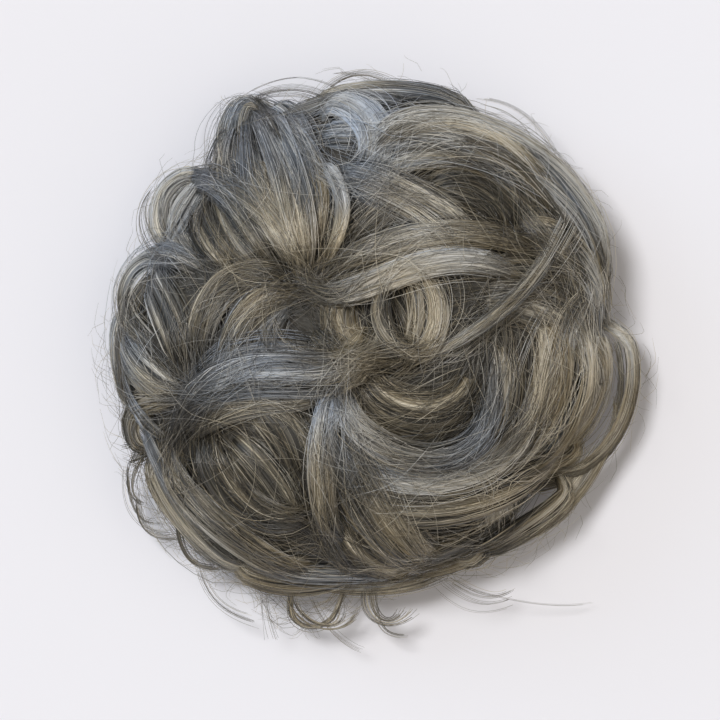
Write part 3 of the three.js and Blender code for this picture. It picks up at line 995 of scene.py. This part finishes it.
def combed_hair(count, rng):
    """Single strands that lie on the base, from somewhere on its crown to somewhere lower down."""
    profile = np.array(base_profile()[:crown_rows + belly_rows])
    start = rng.random((count, 1)) ** 0.6 * 0.5 + 0.25
    stop = np.minimum(start + rng.uniform(0.25, 0.6, (count, 1)), 0.985)
    q = start + (stop - start) * np.linspace(0, 1, comb_steps)
    at = [np.interp(q * (len(profile) - 1), np.arange(len(profile)), profile[:, i]) for i in range(3)]
    swirl = rng.choice([-1, 1], (count, 1), p=[0.25, 0.75]) * rng.uniform(0.3, 1.6, (count, 1))
    bearing = rng.uniform(0, 2 * math.pi, (count, 1)) + swirl * (q - start)
    proud = rng.uniform(-0.0004, 0.0012, (count, 1)) * np.sin(math.pi * (q - start) / (stop - start))
    radius = at[1] + (base_reach(bearing) - at[1]) * at[0] + proud
    places = np.stack([np.cos(bearing) * radius, np.sin(bearing) * radius, at[2] + proud], -1)
    places[..., 2] = np.maximum(places[..., 2], strand_clearance)
    tone = np.array(tones_and_painted_light["ash"]) + rng.normal(0, 0.2, (count, 1, 3)) * np.ones((count, comb_steps, 3))
    tone[..., 2] -= 0.06
    girth = rng.uniform(0.8, 1.2, (count, 1)) * np.ones((count, comb_steps))
    return places, tone, girth


side_tones = ["ash steel ash", "olive ash beige", "steel ash olive"]
side_locks = []
for index in range(side_lock_count):
    tones = side_tones[index % len(side_tones)]
    half_width = side_lock_width * spread / 2
    line = side_line(index)
    side_locks.append(Lock(line, 0.0, half_width, tones, 300 + index, side_twist, side_end_width))
combed = combed_hair(comb_count, np.random.default_rng(330))
hair_piece("side_locks_hair", side_locks, side_density, ["hair_base"], [combed])

# The curled locks of the crown. Each is a tress of its own, laid over the base in two tiers: they
# start at the middle, at the peak or at the rim, and dive under their neighbours at both ends.
tier_step = 0.0028
crown_density = 11500

# Name, width, the four places that the lock passes over, and its tones from start to end, painted highlights
# and shade among them
middle_locks = [
    ("beige_fan", 0.135, [(-0.28, 0.29), (-0.32, 0.47), (-0.4, 0.63), (-0.49, 0.74)],
     "dark olive sand ash dark dark"),
    ("peak_fold", 0.16, [(-0.43, 0.99), (-0.51, 0.92), (-0.52, 0.77), (-0.44, 0.62)],
     "ash steel ash steel"),
    ("peak_flank", 0.105, [(-0.39, 0.93), (-0.27, 0.79), (-0.2, 0.6), (-0.24, 0.35)],
     "steel frost steel sand beige sand"),
    ("left_crown", 0.16, [(-0.3, 0.32), (-0.41, 0.49), (-0.55, 0.64), (-0.73, 0.64)],
     "dark olive ash steel steel steel"),
    ("left_roll", 0.105, [(-0.64, 0.28), (-0.85, 0.35), (-0.96, 0.19), (-0.82, -0.05)],
     "ash steel frost ash slate"),
    ("left_arc_outer", 0.12, [(-0.25, 0.26), (-0.47, 0.27), (-0.61, 0.16), (-0.68, -0.08)],
     "dark dark olive ash ash slate"),
    ("left_arc_inner", 0.12, [(-0.25, 0.21), (-0.4, 0.18), (-0.5, 0.05), (-0.56, -0.15)],
     "olive olive sand ash slate slate"),
    ("left_sweep_low", 0.135, [(-0.08, -0.11), (-0.28, -0.19), (-0.51, -0.23), (-0.77, -0.42)],
     "slate olive ash olive dark"),
    ("lower_left_sweep", 0.135, [(-0.8, -0.42), (-0.7, -0.6), (-0.48, -0.79), (-0.19, -0.95)],
     "olive olive ash olive brown"),
    ("lower_left_bowl", 0.135, [(-0.64, -0.33), (-0.56, -0.54), (-0.39, -0.67), (-0.19, -0.62)],
     "dark dark olive dark dark"),
    ("front_fan", 0.2, [(-0.06, -0.36), (-0.01, -0.56), (0.12, -0.75), (0.29, -0.89)],
     "steel slate ash sand brown brown"),
    ("curl_middle", 0.13, [(-0.09, -0.21), (0.04, -0.51), (0.48, -0.48), (0.68, -0.03)],
     "steel steel silver ash ash"),
    ("curl_outer", 0.15, [(-0.09, -0.43), (0.13, -0.64), (0.59, -0.55), (0.88, -0.16)],
     "ash silver ash sand sand beige"),
    ("lower_right_loop", 0.18, [(0.84, -0.51), (0.76, -0.65), (0.58, -0.76), (0.38, -0.88)],
     "sand beige sand olive sand"),
    ("right_loop", 0.105, [(0.96, 0.12), (1.07, -0.1), (0.96, -0.42), (0.61, -0.54)],
     "silver silver sand olive olive"),
    ("right_fall", 0.17, [(0.91, 0.06), (0.93, -0.12), (0.84, -0.32), (0.65, -0.47)],
     "pale pale pale beige beige"),
    ("inner_sweep", 0.11, [(0.04, 0.68), (0.25, 0.75), (0.51, 0.71), (0.63, 0.48)],
     "frost silver ash slate olive"),
    ("top_crest", 0.145, [(-0.2, 0.95), (-0.05, 0.94), (0.04, 0.83), (-0.01, 0.68)],
     "frost frost sky frost steel"),
    ("crown_sweep", 0.17, [(-0.13, 0.69), (0.07, 0.62), (0.26, 0.53), (0.46, 0.44)],
     "frost steel ash ash ash dark"),
    ("right_swirl", 0.15, [(0.59, 0.44), (0.75, 0.42), (0.88, 0.28), (0.94, 0.08)],
     "dark olive ash silver pale"),
    ("centre_curtain", 0.15, [(0.18, 0.29), (0.24, 0.18), (0.24, 0.05), (0.16, -0.07)],
     "olive sand beige olive"),
    ("centre_swirl", 0.07, [(-0.35, 0.05), (-0.24, -0.04), (-0.08, -0.03), (0.01, 0.12)],
     "ash dark dark sand sand"),
]

top_locks = [
    ("peak_arch", 0.135, [(-0.25, 0.31), (-0.27, 0.53), (-0.34, 0.78), (-0.45, 0.99)],
     "sand beige ash steel steel dark"),
    ("peak_ribbon", 0.05, [(-0.18, 0.75), (-0.11, 0.64), (-0.09, 0.5), (-0.17, 0.31)],
     "steel frost frost beige beige"),
    ("left_sweep", 0.17, [(0.06, 0.08), (-0.17, -0.12), (-0.49, -0.13), (-0.8, -0.4)],
     "sand sand slate steel slate dark"),
    ("front_fall", 0.105, [(-0.11, -0.13), (-0.16, -0.34), (-0.17, -0.59), (-0.07, -0.87)],
     "sky sky silver sand olive dark"),
    ("curl_inner", 0.11, [(-0.05, -0.14), (0.02, -0.37), (0.36, -0.43), (0.52, 0)],
     "sky silver ash steel ash"),
    ("outer_sweep", 0.185, [(-0.02, 0.72), (0.34, 0.86), (0.79, 0.62), (0.96, 0.11)],
     "steel silver silver silver silver pale"),
    ("upper_sweep", 0.11, [(-0.15, 0.31), (0.1, 0.4), (0.39, 0.44), (0.74, 0.36)],
     "olive ash silver olive olive"),
    ("centre_sweep", 0.11, [(-0.24, 0.22), (0.01, 0.23), (0.28, 0.33), (0.68, 0.27)],
     "olive ash pale silver ash"),
    ("diagonal_strand", 0.05, [(0.8, 0.48), (0.68, 0.28), (0.51, 0.11), (0.24, -0.06)],
     "ash ash ash ash silver"),
    ("centre_ring", 0.07, [(0.13, 0.28), (0.06, 0.13), (0.13, 0), (0.29, -0.03)],
     "olive olive ash olive ash"),
]

for tier, locks in enumerate([middle_locks, top_locks], start=1):
    for index, (name, wide, via, tones) in enumerate(locks):
        half_width = wide * spread / 2
        seed = 400 + 100 * tier + index
        line, level = crown_line(via, half_width * lock_flatness, tier * tier_step, tuck)
        twist = np.random.default_rng(seed + 50).uniform(-0.9, 0.9)
        lock = Lock(line, level, half_width, tones, seed, twist)
        every_lock.append(lock)
        hair_piece(name + "_hair", [lock], crown_density, [name])

# Hair between the locks and over them. Deep tresses fill the hollows, strands that part from one
# lock join the next, thin layers of hair lie over the locks, and single hairs have worked loose.
between_count = 900
over_count = 1350
above_count = 280
crossing_count = 640
lie_reach = 0.0045
stray_girth = 0.6
rim_bins = 90
rim_clearance = 0.001
end_dive = 0.0015
dive_share = 0.2
flowing_jitter = (0.15, 0.12, 0.18)
flowing_girth = (0.75, 1.2)
flowing_end_girth = 0.4
taper_at_ends = 0.15
inner_level = 0.0005
inner_dive = 0.003
inner_twist = 0.4
inner_density = 3500

# Width, places and tones of each deep tress, whose dark words paint the shade in the hollows
inner_tresses = [
    (0.2, [(-0.64, 0.58), (-0.61, 0.49), (-0.56, 0.41), (-0.5, 0.33)], "dark dark olive sand"),
    (0.16, [(-0.56, 0.56), (-0.52, 0.48), (-0.46, 0.4), (-0.38, 0.32)], "dark olive olive dark"),
    (0.16, [(-0.54, -0.38), (-0.44, -0.46), (-0.34, -0.58), (-0.26, -0.7)], "olive dark dark"),
    (0.18, [(-0.46, -0.22), (-0.36, -0.28), (-0.28, -0.38), (-0.24, -0.52)], "olive dark dark"),
    (0.2, [(0.26, 0.62), (0.38, 0.64), (0.5, 0.58), (0.58, 0.46)], "ash dark dark"),
    (0.16, [(-0.06, 0.4), (0.02, 0.48), (0.1, 0.56), (0.14, 0.64)], "dark ash dark"),
    (0.16, [(-0.3, 0.18), (-0.38, 0.08), (-0.41, -0.02), (-0.46, -0.12)], "steel ash steel"),
    (0.16, [(-0.86, 0.3), (-0.8, 0.18), (-0.74, 0.05), (-0.72, -0.1)], "steel ash dark"),
    (0.16, [(0.5, 0.3), (0.62, 0.32), (0.74, 0.28), (0.82, 0.16)], "olive dark olive"),
    (0.16, [(-0.22, 0.06), (-0.12, -0.02), (0.0, -0.06), (0.1, -0.04)], "dark olive dark"),
]

inner_locks = []
for index, (wide, via, tones) in enumerate(inner_tresses):
    half_width = wide * spread / 2
    line, level = crown_line(via, half_width * lock_flatness, inner_level, inner_dive)
    inner_locks.append(Lock(line, level, half_width, tones, 650 + index, inner_twist))
every_lock += inner_locks


def lie_of_hair():
    """Places along the locks, seen from above, with the way the hair runs there, how far out the
    lock lies, its half width and its tone."""
    rows = []
    for lock in every_lock:
        step = np.gradient(lock.point[:, :2], axis=0)
        step /= np.linalg.norm(step, axis=1, keepdims=True)
        t = np.linspace(0, 1, len(step))
        width = lock.half_width * lock.fullness(t)
        tone = tones_along(lock.words, t)
        rows.append(np.column_stack([lock.point[:, :2], step, lock.level, width, tone])[::2])
    return np.concatenate(rows)


lies = lie_of_hair()


def way_of_hair(at):
    """The way the hair runs near some places, without a sense."""
    apart = ((at[:, None, :] - lies[None, :, :2]) ** 2).sum(-1)
    weight = np.exp(-apart / lie_reach ** 2) + 1e-9
    xx = (weight * lies[:, 2] ** 2).sum(1)
    yy = (weight * lies[:, 3] ** 2).sum(1)
    xy = (weight * lies[:, 2] * lies[:, 3]).sum(1)
    angle = 0.5 * np.arctan2(2 * xy, xx - yy)
    return np.stack([np.cos(angle), np.sin(angle)], -1)


def top_of_locks(x, y):
    """How far out from the base the highest lock reaches over each place, and its tone."""
    at = np.stack([x.ravel(), y.ravel()], -1)
    apart = ((at[:, None, :] - lies[None, :, :2]) ** 2).sum(-1)
    width = lies[:, 5]
    rise = np.sqrt(np.clip(1 - apart / width ** 2, 0, 1)) * width * lock_flatness
    reached = np.where(apart < width ** 2, lies[:, 4] + rise, -apart)
    tone = lies[reached.argmax(1), 6:9].reshape(x.shape + (3,))
    return np.maximum(reached.max(1), 0).reshape(x.shape), tone


lie_bearing = np.mod(np.arctan2(lies[:, 1], lies[:, 0]), 2 * math.pi)
lie_bin = (lie_bearing / (2 * math.pi) * rim_bins).astype(int) % rim_bins
lie_edge = np.hypot(lies[:, 0], lies[:, 1]) + lies[:, 5] * 0.9
rim = np.array([lie_edge[lie_bin == index].max(initial=0.05) for index in range(rim_bins)])
rim = (np.roll(rim, 1) + 2 * rim + np.roll(rim, -1)) / 4


def rim_reach(bearing):
    """How far the locks reach from the band's axis at each bearing."""
    turns = np.mod(bearing / (2 * math.pi), 1) * rim_bins - 0.5
    return np.interp(turns, np.arange(-1, rim_bins + 1), np.concatenate([rim[-1:], rim, rim[:1]]))


def eased(values, passes):
    """Values along strands, smoothed from step to step."""
    for _ in range(passes):
        values = np.concatenate([values[:, :1], values, values[:, -1:]], 1)
        values = (values[:, :-2] + 2 * values[:, 1:-1] + values[:, 2:]) / 4
    return values


def flowing_hair(count, steps, length, levels, over, wander, lighter, girth_scale, rng, follow=0.5):
    """Strands that set off from anywhere on the crown and run the way the hair near them does.
    Their level is counted from the base, or from the tops of the locks below them."""
    bearing = rng.uniform(0, 2 * math.pi, count)
    radius = base_reach(bearing) * 0.97 * np.sqrt(rng.random(count))
    at = np.stack([radius * np.cos(bearing), radius * np.sin(bearing)], -1)
    heading = rng.uniform(0, 2 * math.pi, count)
    heading = np.stack([np.cos(heading), np.sin(heading)], -1)
    lengths = rng.uniform(*length, count)[:, None]
    turn = rng.normal(0, wander, count)
    curl = rng.normal(0, wander * 1.2, count)
    track = [at]
    for step in range(steps - 1):
        way = way_of_hair(at)
        way *= np.sign((way * heading).sum(1) + 1e-12)[:, None]
        heading = way if step == 0 and follow > 0.3 else heading * (1 - follow) + way * follow
        heading /= np.linalg.norm(heading, axis=1, keepdims=True)
        bent = turn + curl * (step / steps - 0.5)
        c, s = np.cos(bent), np.sin(bent)
        ahead, beside = heading[:, 0], heading[:, 1]
        moved = np.stack([ahead * c - beside * s, ahead * s + beside * c], -1)
        at = at + moved * lengths / (steps - 1)
        track.append(at)
    plan = np.stack(track, 1)
    limit = rim_reach(np.arctan2(plan[..., 1], plan[..., 0])) * rng.uniform(0.9, 1.0, (count, 1))
    distance = np.maximum(np.hypot(plan[..., 0], plan[..., 1]), 0.001)
    past = np.maximum(distance - limit, 0)
    plan = plan * ((distance - past * 0.75) / distance)[..., None]
    t = np.linspace(0, 1, steps)
    level = rng.uniform(*levels, (count, 1)) + 0.0006 * rng.normal(0, 1, (count, 1)) * (t - 0.5)
    top, tone = top_of_locks(plan[..., 0], plan[..., 1])
    if over:
        level = level + np.maximum(eased(top, 2), top * 0.85 + eased(top, 4) * 0.15)
    level = level - end_dive * (1 - between_ends(t, 0, dive_share))
    point, _ = on_crown(plan[..., 0], plan[..., 1], level)
    point[..., 2] = np.maximum(point[..., 2], rim_clearance)
    tone = np.stack([eased(tone[..., i], 3) for i in range(3)], -1)
    # lighter shifts the lightness: painted shade for strands deep between the locks, painted light for loose
    # strands lying on top
    tone = tone + rng.normal(0, 1, (count, 1, 3)) * flowing_jitter + (0, 0, lighter)
    taper = between_ends(t, flowing_end_girth, taper_at_ends)
    return point, tone, girth_scale * rng.uniform(*flowing_girth, (count, 1)) * taper


laid_wisps = 9
laid_dive = 0.0012
laid_thickness = 0.0008
laid_start, laid_stop = (0, 0.16), (0, 0.2)
laid_end_girth = 0.5
fewest_laid_steps = 11

# Each layer laid over the locks: widths at start, middle and end, places, tones with painted highlights and
# shade among them, hairs
laid_tresses = [
    ((0.03, 0.2, 0.07), [(-0.475, 1.0), (-0.43, 0.8), (-0.36, 0.55), (-0.25, 0.3)],
     "dark steel steel ash beige sand", 170),
    ((0.03, 0.12, 0.1), [(-0.49, 1.0), (-0.54, 0.86), (-0.57, 0.73), (-0.53, 0.6)],
     "dark steel ash ash", 70),
    ((0.03, 0.14, 0.06), [(-0.47, 1.0), (-0.34, 0.88), (-0.24, 0.68), (-0.2, 0.42)],
     "dark slate frost steel ash", 80),
    ((0.04, 0.16, 0.06), [(-0.79, 0.65), (-0.62, 0.67), (-0.42, 0.55), (-0.25, 0.32)],
     "dark steel ash beige sand", 120),
    ((0.1, 0.13, 0.02), [(-0.14, -0.05), (-0.42, -0.03), (-0.64, -0.14), (-0.77, -0.37)],
     "sand sky frost slate dark", 90),
    ((0.1, 0.1, 0.02), [(-0.98, -0.08), (-0.94, -0.2), (-0.87, -0.3), (-0.77, -0.38)],
     "ash steel dark", 50),
    ((0.02, 0.07, 0.1), [(-0.76, -0.37), (-0.84, -0.42), (-0.9, -0.44), (-0.96, -0.46)],
     "dark ash ash", 40),
    ((0.02, 0.14, 0.1), [(-0.77, -0.38), (-0.68, -0.58), (-0.48, -0.78), (-0.2, -0.92)],
     "dark ash olive olive", 70),
    ((0.12, 0.12, 0.04), [(0.36, -0.86), (0.6, -0.76), (0.8, -0.62), (0.86, -0.46)],
     "olive sand beige sand", 70),
    ((0.1, 0.2, 0.1), [(0.86, 0.12), (0.9, -0.14), (0.82, -0.38), (0.62, -0.53)],
     "silver pale beige olive", 110),
    ((0.06, 0.12, 0.12), [(1.0, -0.2), (0.97, -0.4), (0.82, -0.53), (0.58, -0.57)],
     "beige sand olive olive", 80),
    ((0.08, 0.1, 0.16), [(0.34, 0.8), (0.6, 0.7), (0.79, 0.44), (0.86, 0.14)], "ash olive dark dark", 60),
    ((0.06, 0.08, 0.1), [(0.6, 0.82), (0.83, 0.58), (0.95, 0.32), (0.97, 0.06)],
     "ash steel olive silver", 50),
    ((0.04, 0.16, 0.16), [(0.04, 0.76), (0.24, 0.88), (0.5, 0.84), (0.72, 0.62)],
     "ash silver pale olive", 60),
    ((0.04, 0.1, 0.08), [(0.12, 0.8), (0.34, 0.88), (0.54, 0.81), (0.7, 0.66)], "ash pale pale silver", 36),
    ((0.06, 0.14, 0.1), [(0.28, 0.64), (0.43, 0.66), (0.56, 0.58), (0.62, 0.44)],
     "slate dark dark dark", 50),
    ((0.08, 0.14, 0.12), [(0.5, 0.64), (0.66, 0.5), (0.77, 0.32), (0.83, 0.1)], "dark olive dark ash", 56),
    ((0.05, 0.1, 0.08), [(0.08, 0.26), (0.12, 0.12), (0.15, 0.0), (0.1, -0.12)],
     "olive ash sand olive", 40),
    ((0.08, 0.2, 0.16), [(0.9, 0.2), (0.8, 0.0), (0.74, -0.26), (0.5, -0.48)], "ash silver sand ash", 70),
    ((0.08, 0.14, 0.12), [(0.96, -0.38), (0.87, -0.52), (0.74, -0.66), (0.52, -0.8)],
     "ash olive silver sand", 80),
    ((0.08, 0.14, 0.1), [(0.66, -0.7), (0.52, -0.8), (0.38, -0.88), (0.16, -0.93)],
     "olive sand brown olive", 80),
    ((0.05, 0.08, 0.06), [(1.0, 0.02), (1.03, -0.14), (0.98, -0.36), (0.82, -0.5)],
     "silver ash olive dark", 40),
    ((0.06, 0.12, 0.14), [(-0.12, 0.66), (0.06, 0.6), (0.24, 0.5), (0.36, 0.36)], "steel ash pale ash", 50),
    ((0.03, 0.05, 0.02), [(-0.44, 0.97), (-0.4, 0.93), (-0.36, 0.87), (-0.32, 0.78)],
     "dark dark dark slate", 24),
    ((0.03, 0.06, 0.04), [(-0.62, 0.6), (-0.66, 0.52), (-0.67, 0.42), (-0.63, 0.33)], "dark dark dark", 30),
    ((0.03, 0.05, 0.04), [(-0.66, 0.6), (-0.57, 0.59), (-0.49, 0.53), (-0.42, 0.43)],
     "dark dark olive", 26),
    ((0.05, 0.08, 0.05), [(-0.5, -0.52), (-0.42, -0.62), (-0.32, -0.67), (-0.2, -0.66)],
     "olive dark dark olive", 40),
    ((0.1, 0.2, 0.1), [(-0.1, -0.28), (-0.04, -0.5), (0.08, -0.72), (0.24, -0.9)],
     "steel ash sand olive", 90),
    ((0.12, 0.2, 0.2), [(-0.44, -0.84), (-0.2, -0.95), (0.08, -0.97), (0.32, -0.9)],
     "olive olive sand olive", 80),
    ((0.16, 0.1, 0.05), [(0.83, 0.55), (0.73, 0.36), (0.56, 0.14), (0.28, -0.06)],
     "silver silver sand silver", 40),
]


def laid_hair(widths, via, words, hairs, rng, proud=0.0001, finer=0.9):
    """A thin layer of strands along a line, on the tops of the locks below it."""
    line, _ = crown_line(via, half_thickness=0.001, outward=0.0, dive=0.0)
    tress = Lock(line, level=0.0, half_width=0.01, words=words, seed=0, twist=0)
    steps = max(tress.steps, fewest_laid_steps)
    start = rng.uniform(*laid_start, (hairs, 1))
    stop = 1 - rng.uniform(*laid_stop, (hairs, 1))
    t = start + (stop - start) * np.linspace(0, 1, steps)
    width = np.interp(t, (0, 0.5, 1), widths) * spread / 2
    own_wisp = rng.integers(0, laid_wisps, hairs)
    wisp = rng.normal(0, 0.6, laid_wisps)[own_wisp][:, None]
    across = wisp + rng.normal(0, 0.22, (hairs, 1)) + rng.normal(0, 0.2, (hairs, 1)) * (t - 0.5)
    place = tress.at(tress.point, t)[..., :2] + tress.at(tress.side, t)[..., :2] * (across * width)[..., None]
    top, _ = top_of_locks(place[..., 0], place[..., 1])
    level = np.maximum(eased(top, 3), top * 0.8 + eased(top, 6) * 0.2)
    level = level + proud + rng.uniform(0, laid_thickness, (hairs, 1))
    level = level - laid_dive * (1 - smooth((1 - t) / 0.15))
    point, _ = on_crown(place[..., 0], place[..., 1], level)
    point[..., 2] = np.maximum(point[..., 2], rim_clearance)
    wisp_tone = rng.normal(0, 1, (laid_wisps, 3)) * (0.15, 0.1, 0.13)
    tone = tones_along(words, t) + wisp_tone[own_wisp][:, None, :]
    tone = tone + rng.normal(0, 1, (hairs, 1, 3)) * (0.12, 0.1, 0.18)
    taper = between_ends(t, laid_end_girth, taper_at_ends)
    return point, tone, finer * rng.uniform(*flowing_girth, (hairs, 1)) * taper


laid = [laid_hair(*row, np.random.default_rng(760 + index)) for index, row in enumerate(laid_tresses)]
# The strands between the locks are a little darker: painted shade
between = flowing_hair(
    between_count, steps=9, length=(0.014, 0.034), levels=(-0.0002, 0.0035), over=False,
    wander=0.2, lighter=-0.06, girth_scale=1.0, rng=np.random.default_rng(700),
)
over = flowing_hair(
    over_count, steps=11, length=(0.022, 0.055), levels=(0.0002, 0.0010), over=True,
    wander=0.14, lighter=0.0, girth_scale=0.85, rng=np.random.default_rng(705),
)
hair_piece("inner_hair", inner_locks, inner_density, [])
for name, parts in [("hair_between_locks", [between, over]), ("laid_tresses", laid)]:
    piece = strand_piece(name, parts)
    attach(piece, "root")

# The loose strands on top are lighter: painted light on the hairs that lie highest
above = flowing_hair(
    above_count, steps=12, length=(0.02, 0.05), levels=(0.0008, 0.0028), over=True,
    wander=0.4, lighter=0.12, girth_scale=stray_girth, rng=np.random.default_rng(710),
)
crossing = flowing_hair(
    crossing_count, steps=8, length=(0.010, 0.034), levels=(0.0004, 0.0020), over=True,
    wander=0.16, lighter=0.22, girth_scale=stray_girth, rng=np.random.default_rng(715), follow=0.1,
)

# Loose ends. A halo of fine ends round the rim, thickest at the front, and wisps of hair that have
# come away from the locks: they curl out past the rim, or hang inside the loops at the right.
halo_count = 940
halo_reach = 0.0035
halo_steps = 7
front_share = 0.68
front_bearing = -1.9
front_spread = 0.7
shortest_end = 0.003
longest_gain = 0.015
halo_height = (0.006, 0.026)
halo_climb = (-0.006, 0.008)
wisp_rise = 0.002

# Each wisp that hangs loose: widths at start, middle and end, places, tones with painted highlights and shade
# among them, hairs, fineness
loose_wisps = [
    ((0.03, 0.05, 0.09), [(0.02, -0.95), (0.03, -1.07), (0.1, -1.11), (0.18, -1.05)],
     "olive ash olive", 26, 0.9),
    ((0.03, 0.05, 0.09), [(0.04, -0.96), (0.05, -1.1), (0.1, -1.16), (0.18, -1.17)], "ash ash", 10, 0.7),
    ((0.05, 0.07, 0.1), [(-0.3, -0.98), (-0.24, -1.1), (-0.12, -1.13), (-0.05, -1.03)],
     "olive sand olive", 24, 0.8),
    ((0.06, 0.08, 0.06), [(-0.75, -0.7), (-0.73, -0.81), (-0.67, -0.88), (-0.56, -0.89)],
     "dark olive dark", 46, 1.0),
    ((0.04, 0.09, 0.08), [(-0.91, -0.58), (-0.9, -0.71), (-0.83, -0.77), (-0.72, -0.76)],
     "olive ash", 22, 0.65),
    ((0.05, 0.12, 0.08), [(-0.95, -0.46), (-0.95, -0.6), (-0.9, -0.7), (-0.8, -0.72)],
     "olive ash dark", 18, 0.6),
    ((0.08, 0.1, 0.03), [(-0.86, -0.4), (-0.93, -0.48), (-0.94, -0.58), (-0.88, -0.64)],
     "dark ash ash", 24, 0.7),
    ((0.05, 0.1, 0.16), [(-0.67, -0.84), (-0.62, -0.99), (-0.53, -1.07), (-0.41, -1.11)],
     "olive ash", 12, 0.55),
    ((0.05, 0.08, 0.14), [(-0.4, -0.98), (-0.39, -1.07), (-0.37, -1.15), (-0.35, -1.2)],
     "olive ash", 7, 0.5),
    ((0.04, 0.06, 0.1), [(-0.22, -0.98), (-0.17, -1.09), (-0.09, -1.18), (0.0, -1.23)],
     "olive ash", 6, 0.55),
    ((0.1, 0.16, 0.2), [(0.3, -0.92), (0.42, -1.0), (0.52, -1.02), (0.62, -0.98)], "olive ash", 14, 0.5),
    ((0.04, 0.07, 0.06), [(1.02, -0.28), (0.95, -0.46), (0.86, -0.6), (0.72, -0.73)],
     "olive sand olive", 40, 0.9),
    ((0.05, 0.1, 0.06), [(0.93, 0.08), (0.98, -0.08), (0.95, -0.26), (0.84, -0.42)],
     "silver pale silver sand", 16, 0.5),
    ((0.06, 0.08, 0.1), [(-0.17, 1.0), (-0.08, 1.07), (0.02, 1.08), (0.12, 1.03)], "ash ash", 14, 0.6),
    ((0.04, 0.06, 0.1), [(-0.14, 1.08), (-0.04, 1.08), (0.06, 1.03), (0.16, 0.96)], "ash ash", 6, 0.5),
    ((0.06, 0.12, 0.2), [(0.42, 0.98), (0.58, 0.95), (0.69, 0.86), (0.75, 0.74)], "ash ash", 10, 0.5),
    ((0.02, 0.02, 0.03), [(0.36, -0.96), (0.56, -1.02), (0.76, -1.05), (0.94, -1.04)], "ash ash", 4, 0.45),
    ((0.1, 0.14, 0.1), [(-0.46, 0.98), (-0.36, 1.02), (-0.24, 1.02), (-0.14, 0.97)],
     "dark slate ash", 26, 0.6),
    ((0.08, 0.12, 0.06), [(-0.84, 0.64), (-0.9, 0.53), (-0.88, 0.42), (-0.8, 0.34)], "ash ash", 16, 0.6),
    ((0.08, 0.1, 0.06), [(-0.48, 0.99), (-0.56, 0.88), (-0.62, 0.78), (-0.64, 0.68)],
     "dark slate ash", 20, 0.6),
]


def rim_halo(count, rng):
    """Ends of hair that leave the rim, mostly along it, and curl away from it or back to it."""
    t = np.linspace(0, 1, halo_steps)
    bearing = rng.uniform(0, 2 * math.pi, (count, 1))
    in_front = rng.random((count, 1)) < front_share
    bearing = np.where(in_front, rng.normal(front_bearing, front_spread, (count, 1)), bearing)
    radius = rim_reach(bearing) * rng.uniform(0.9, 1.0, (count, 1))
    turn = rng.choice([-1, 1], (count, 1), p=[0.6, 0.4])
    heading = bearing + turn * rng.uniform(0.5, 1.45, (count, 1))
    bend = turn * rng.normal(0.5, 0.9, (count, 1))
    length = shortest_end + longest_gain * rng.random((count, 1)) ** 2
    x, y = radius * np.cos(bearing), radius * np.sin(bearing)
    way = heading + bend * t
    x = x + length * np.cumsum(np.cos(way), 1) / halo_steps
    y = y + length * np.cumsum(np.sin(way), 1) / halo_steps
    distance = np.hypot(x, y)
    limit = rim_reach(np.arctan2(y, x)) + halo_reach
    squeeze = np.where(distance > limit, (limit + (distance - limit) * 0.15) / distance, 1)
    height = rng.uniform(*halo_height, (count, 1)) + rng.uniform(*halo_climb, (count, 1)) * t
    point = np.stack([x * squeeze, y * squeeze, np.maximum(height, rim_clearance)], -1)
    words = rng.choice(["ash", "olive", "beige"], count)
    tone = np.array([tones_and_painted_light[word] for word in words])[:, None, :] + np.zeros((count, halo_steps, 3))
    girth = 0.85 * stray_girth * rng.uniform(0.8, 1.2, (count, 1)) * (1 - 0.5 * t ** 2)
    return point, tone, girth


stray_parts = [above, crossing, rim_halo(halo_count, np.random.default_rng(720))]
for index, (widths, via, tones, hairs, finer) in enumerate(loose_wisps):
    rng = np.random.default_rng(730 + index)
    stray_parts.append(laid_hair(widths, via, tones, hairs, rng, wisp_rise, finer))
piece = strand_piece("stray_hair", stray_parts)
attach(piece, "root")

# The setting. A pale floor and a pale surround, a broad soft light from the upper left with a cool
# and a warm fill beside it, seen from straight above through a long lens.
view_x = -0.0014
view_y = -0.0042
view_width = 0.2016
view_level = 0.020
camera_distance = 2.0
sensor_millimetres = 36
floor_reach = 3

floor_mesh = bpy.data.meshes.new("pale_floor")
floor_corners = [(-1, -1), (1, -1), (1, 1), (-1, 1)]
floor_places = [(x * floor_reach, y * floor_reach, 0) for x, y in floor_corners]
floor_mesh.from_pydata(floor_places, [], [(0, 1, 2, 3)])
paper, _, paper_shader = new_finish("pale_paper", 0.9)
paper_shader.inputs["Base Color"].default_value = (0.80, 0.805, 0.868, 1)
floor_mesh.materials.append(paper)
put_in_scene("pale_floor", floor_mesh)

surround = bpy.data.worlds.new("pale_surround")
surround.use_nodes = True
surround.node_tree.nodes["Background"].inputs["Color"].default_value = (1.0, 0.98, 0.96, 1)
surround.node_tree.nodes["Background"].inputs["Strength"].default_value = 0.27
bpy.context.scene.world = surround


def soft_sun(name, toward, spread_angle, strength, colour):
    """A light as even as a window's, from the side of the sky that toward points to."""
    lamp = bpy.data.lights.new(name, "SUN")
    lamp.angle = math.radians(spread_angle)
    lamp.energy = strength
    lamp.color = colour
    put_in_scene(name, lamp).rotation_euler = Vector(toward).to_track_quat("Z", "Y").to_euler()


soft_sun("key_light", (-0.32, 0.3, 1.0), 16, 2.12, (1.0, 0.98, 0.95))
soft_sun("cool_fill", (-1.0, 0.6, 0.6), 40, 0.62, (0.62, 0.80, 1.0))
soft_sun("warm_fill", (0.55, -0.32, 1.0), 70, 0.55, (1.0, 0.86, 0.66))

lens = bpy.data.cameras.new("photo_view")
lens.sensor_width = sensor_millimetres
lens.lens = sensor_millimetres * camera_distance / view_width
lens.clip_end = 20
camera = put_in_scene("photo_view", lens)
camera.location = (band_centre.x + view_x, band_centre.y + view_y, view_level + camera_distance)
bpy.context.scene.camera = camera
bpy.context.scene.view_settings.view_transform = "Standard"
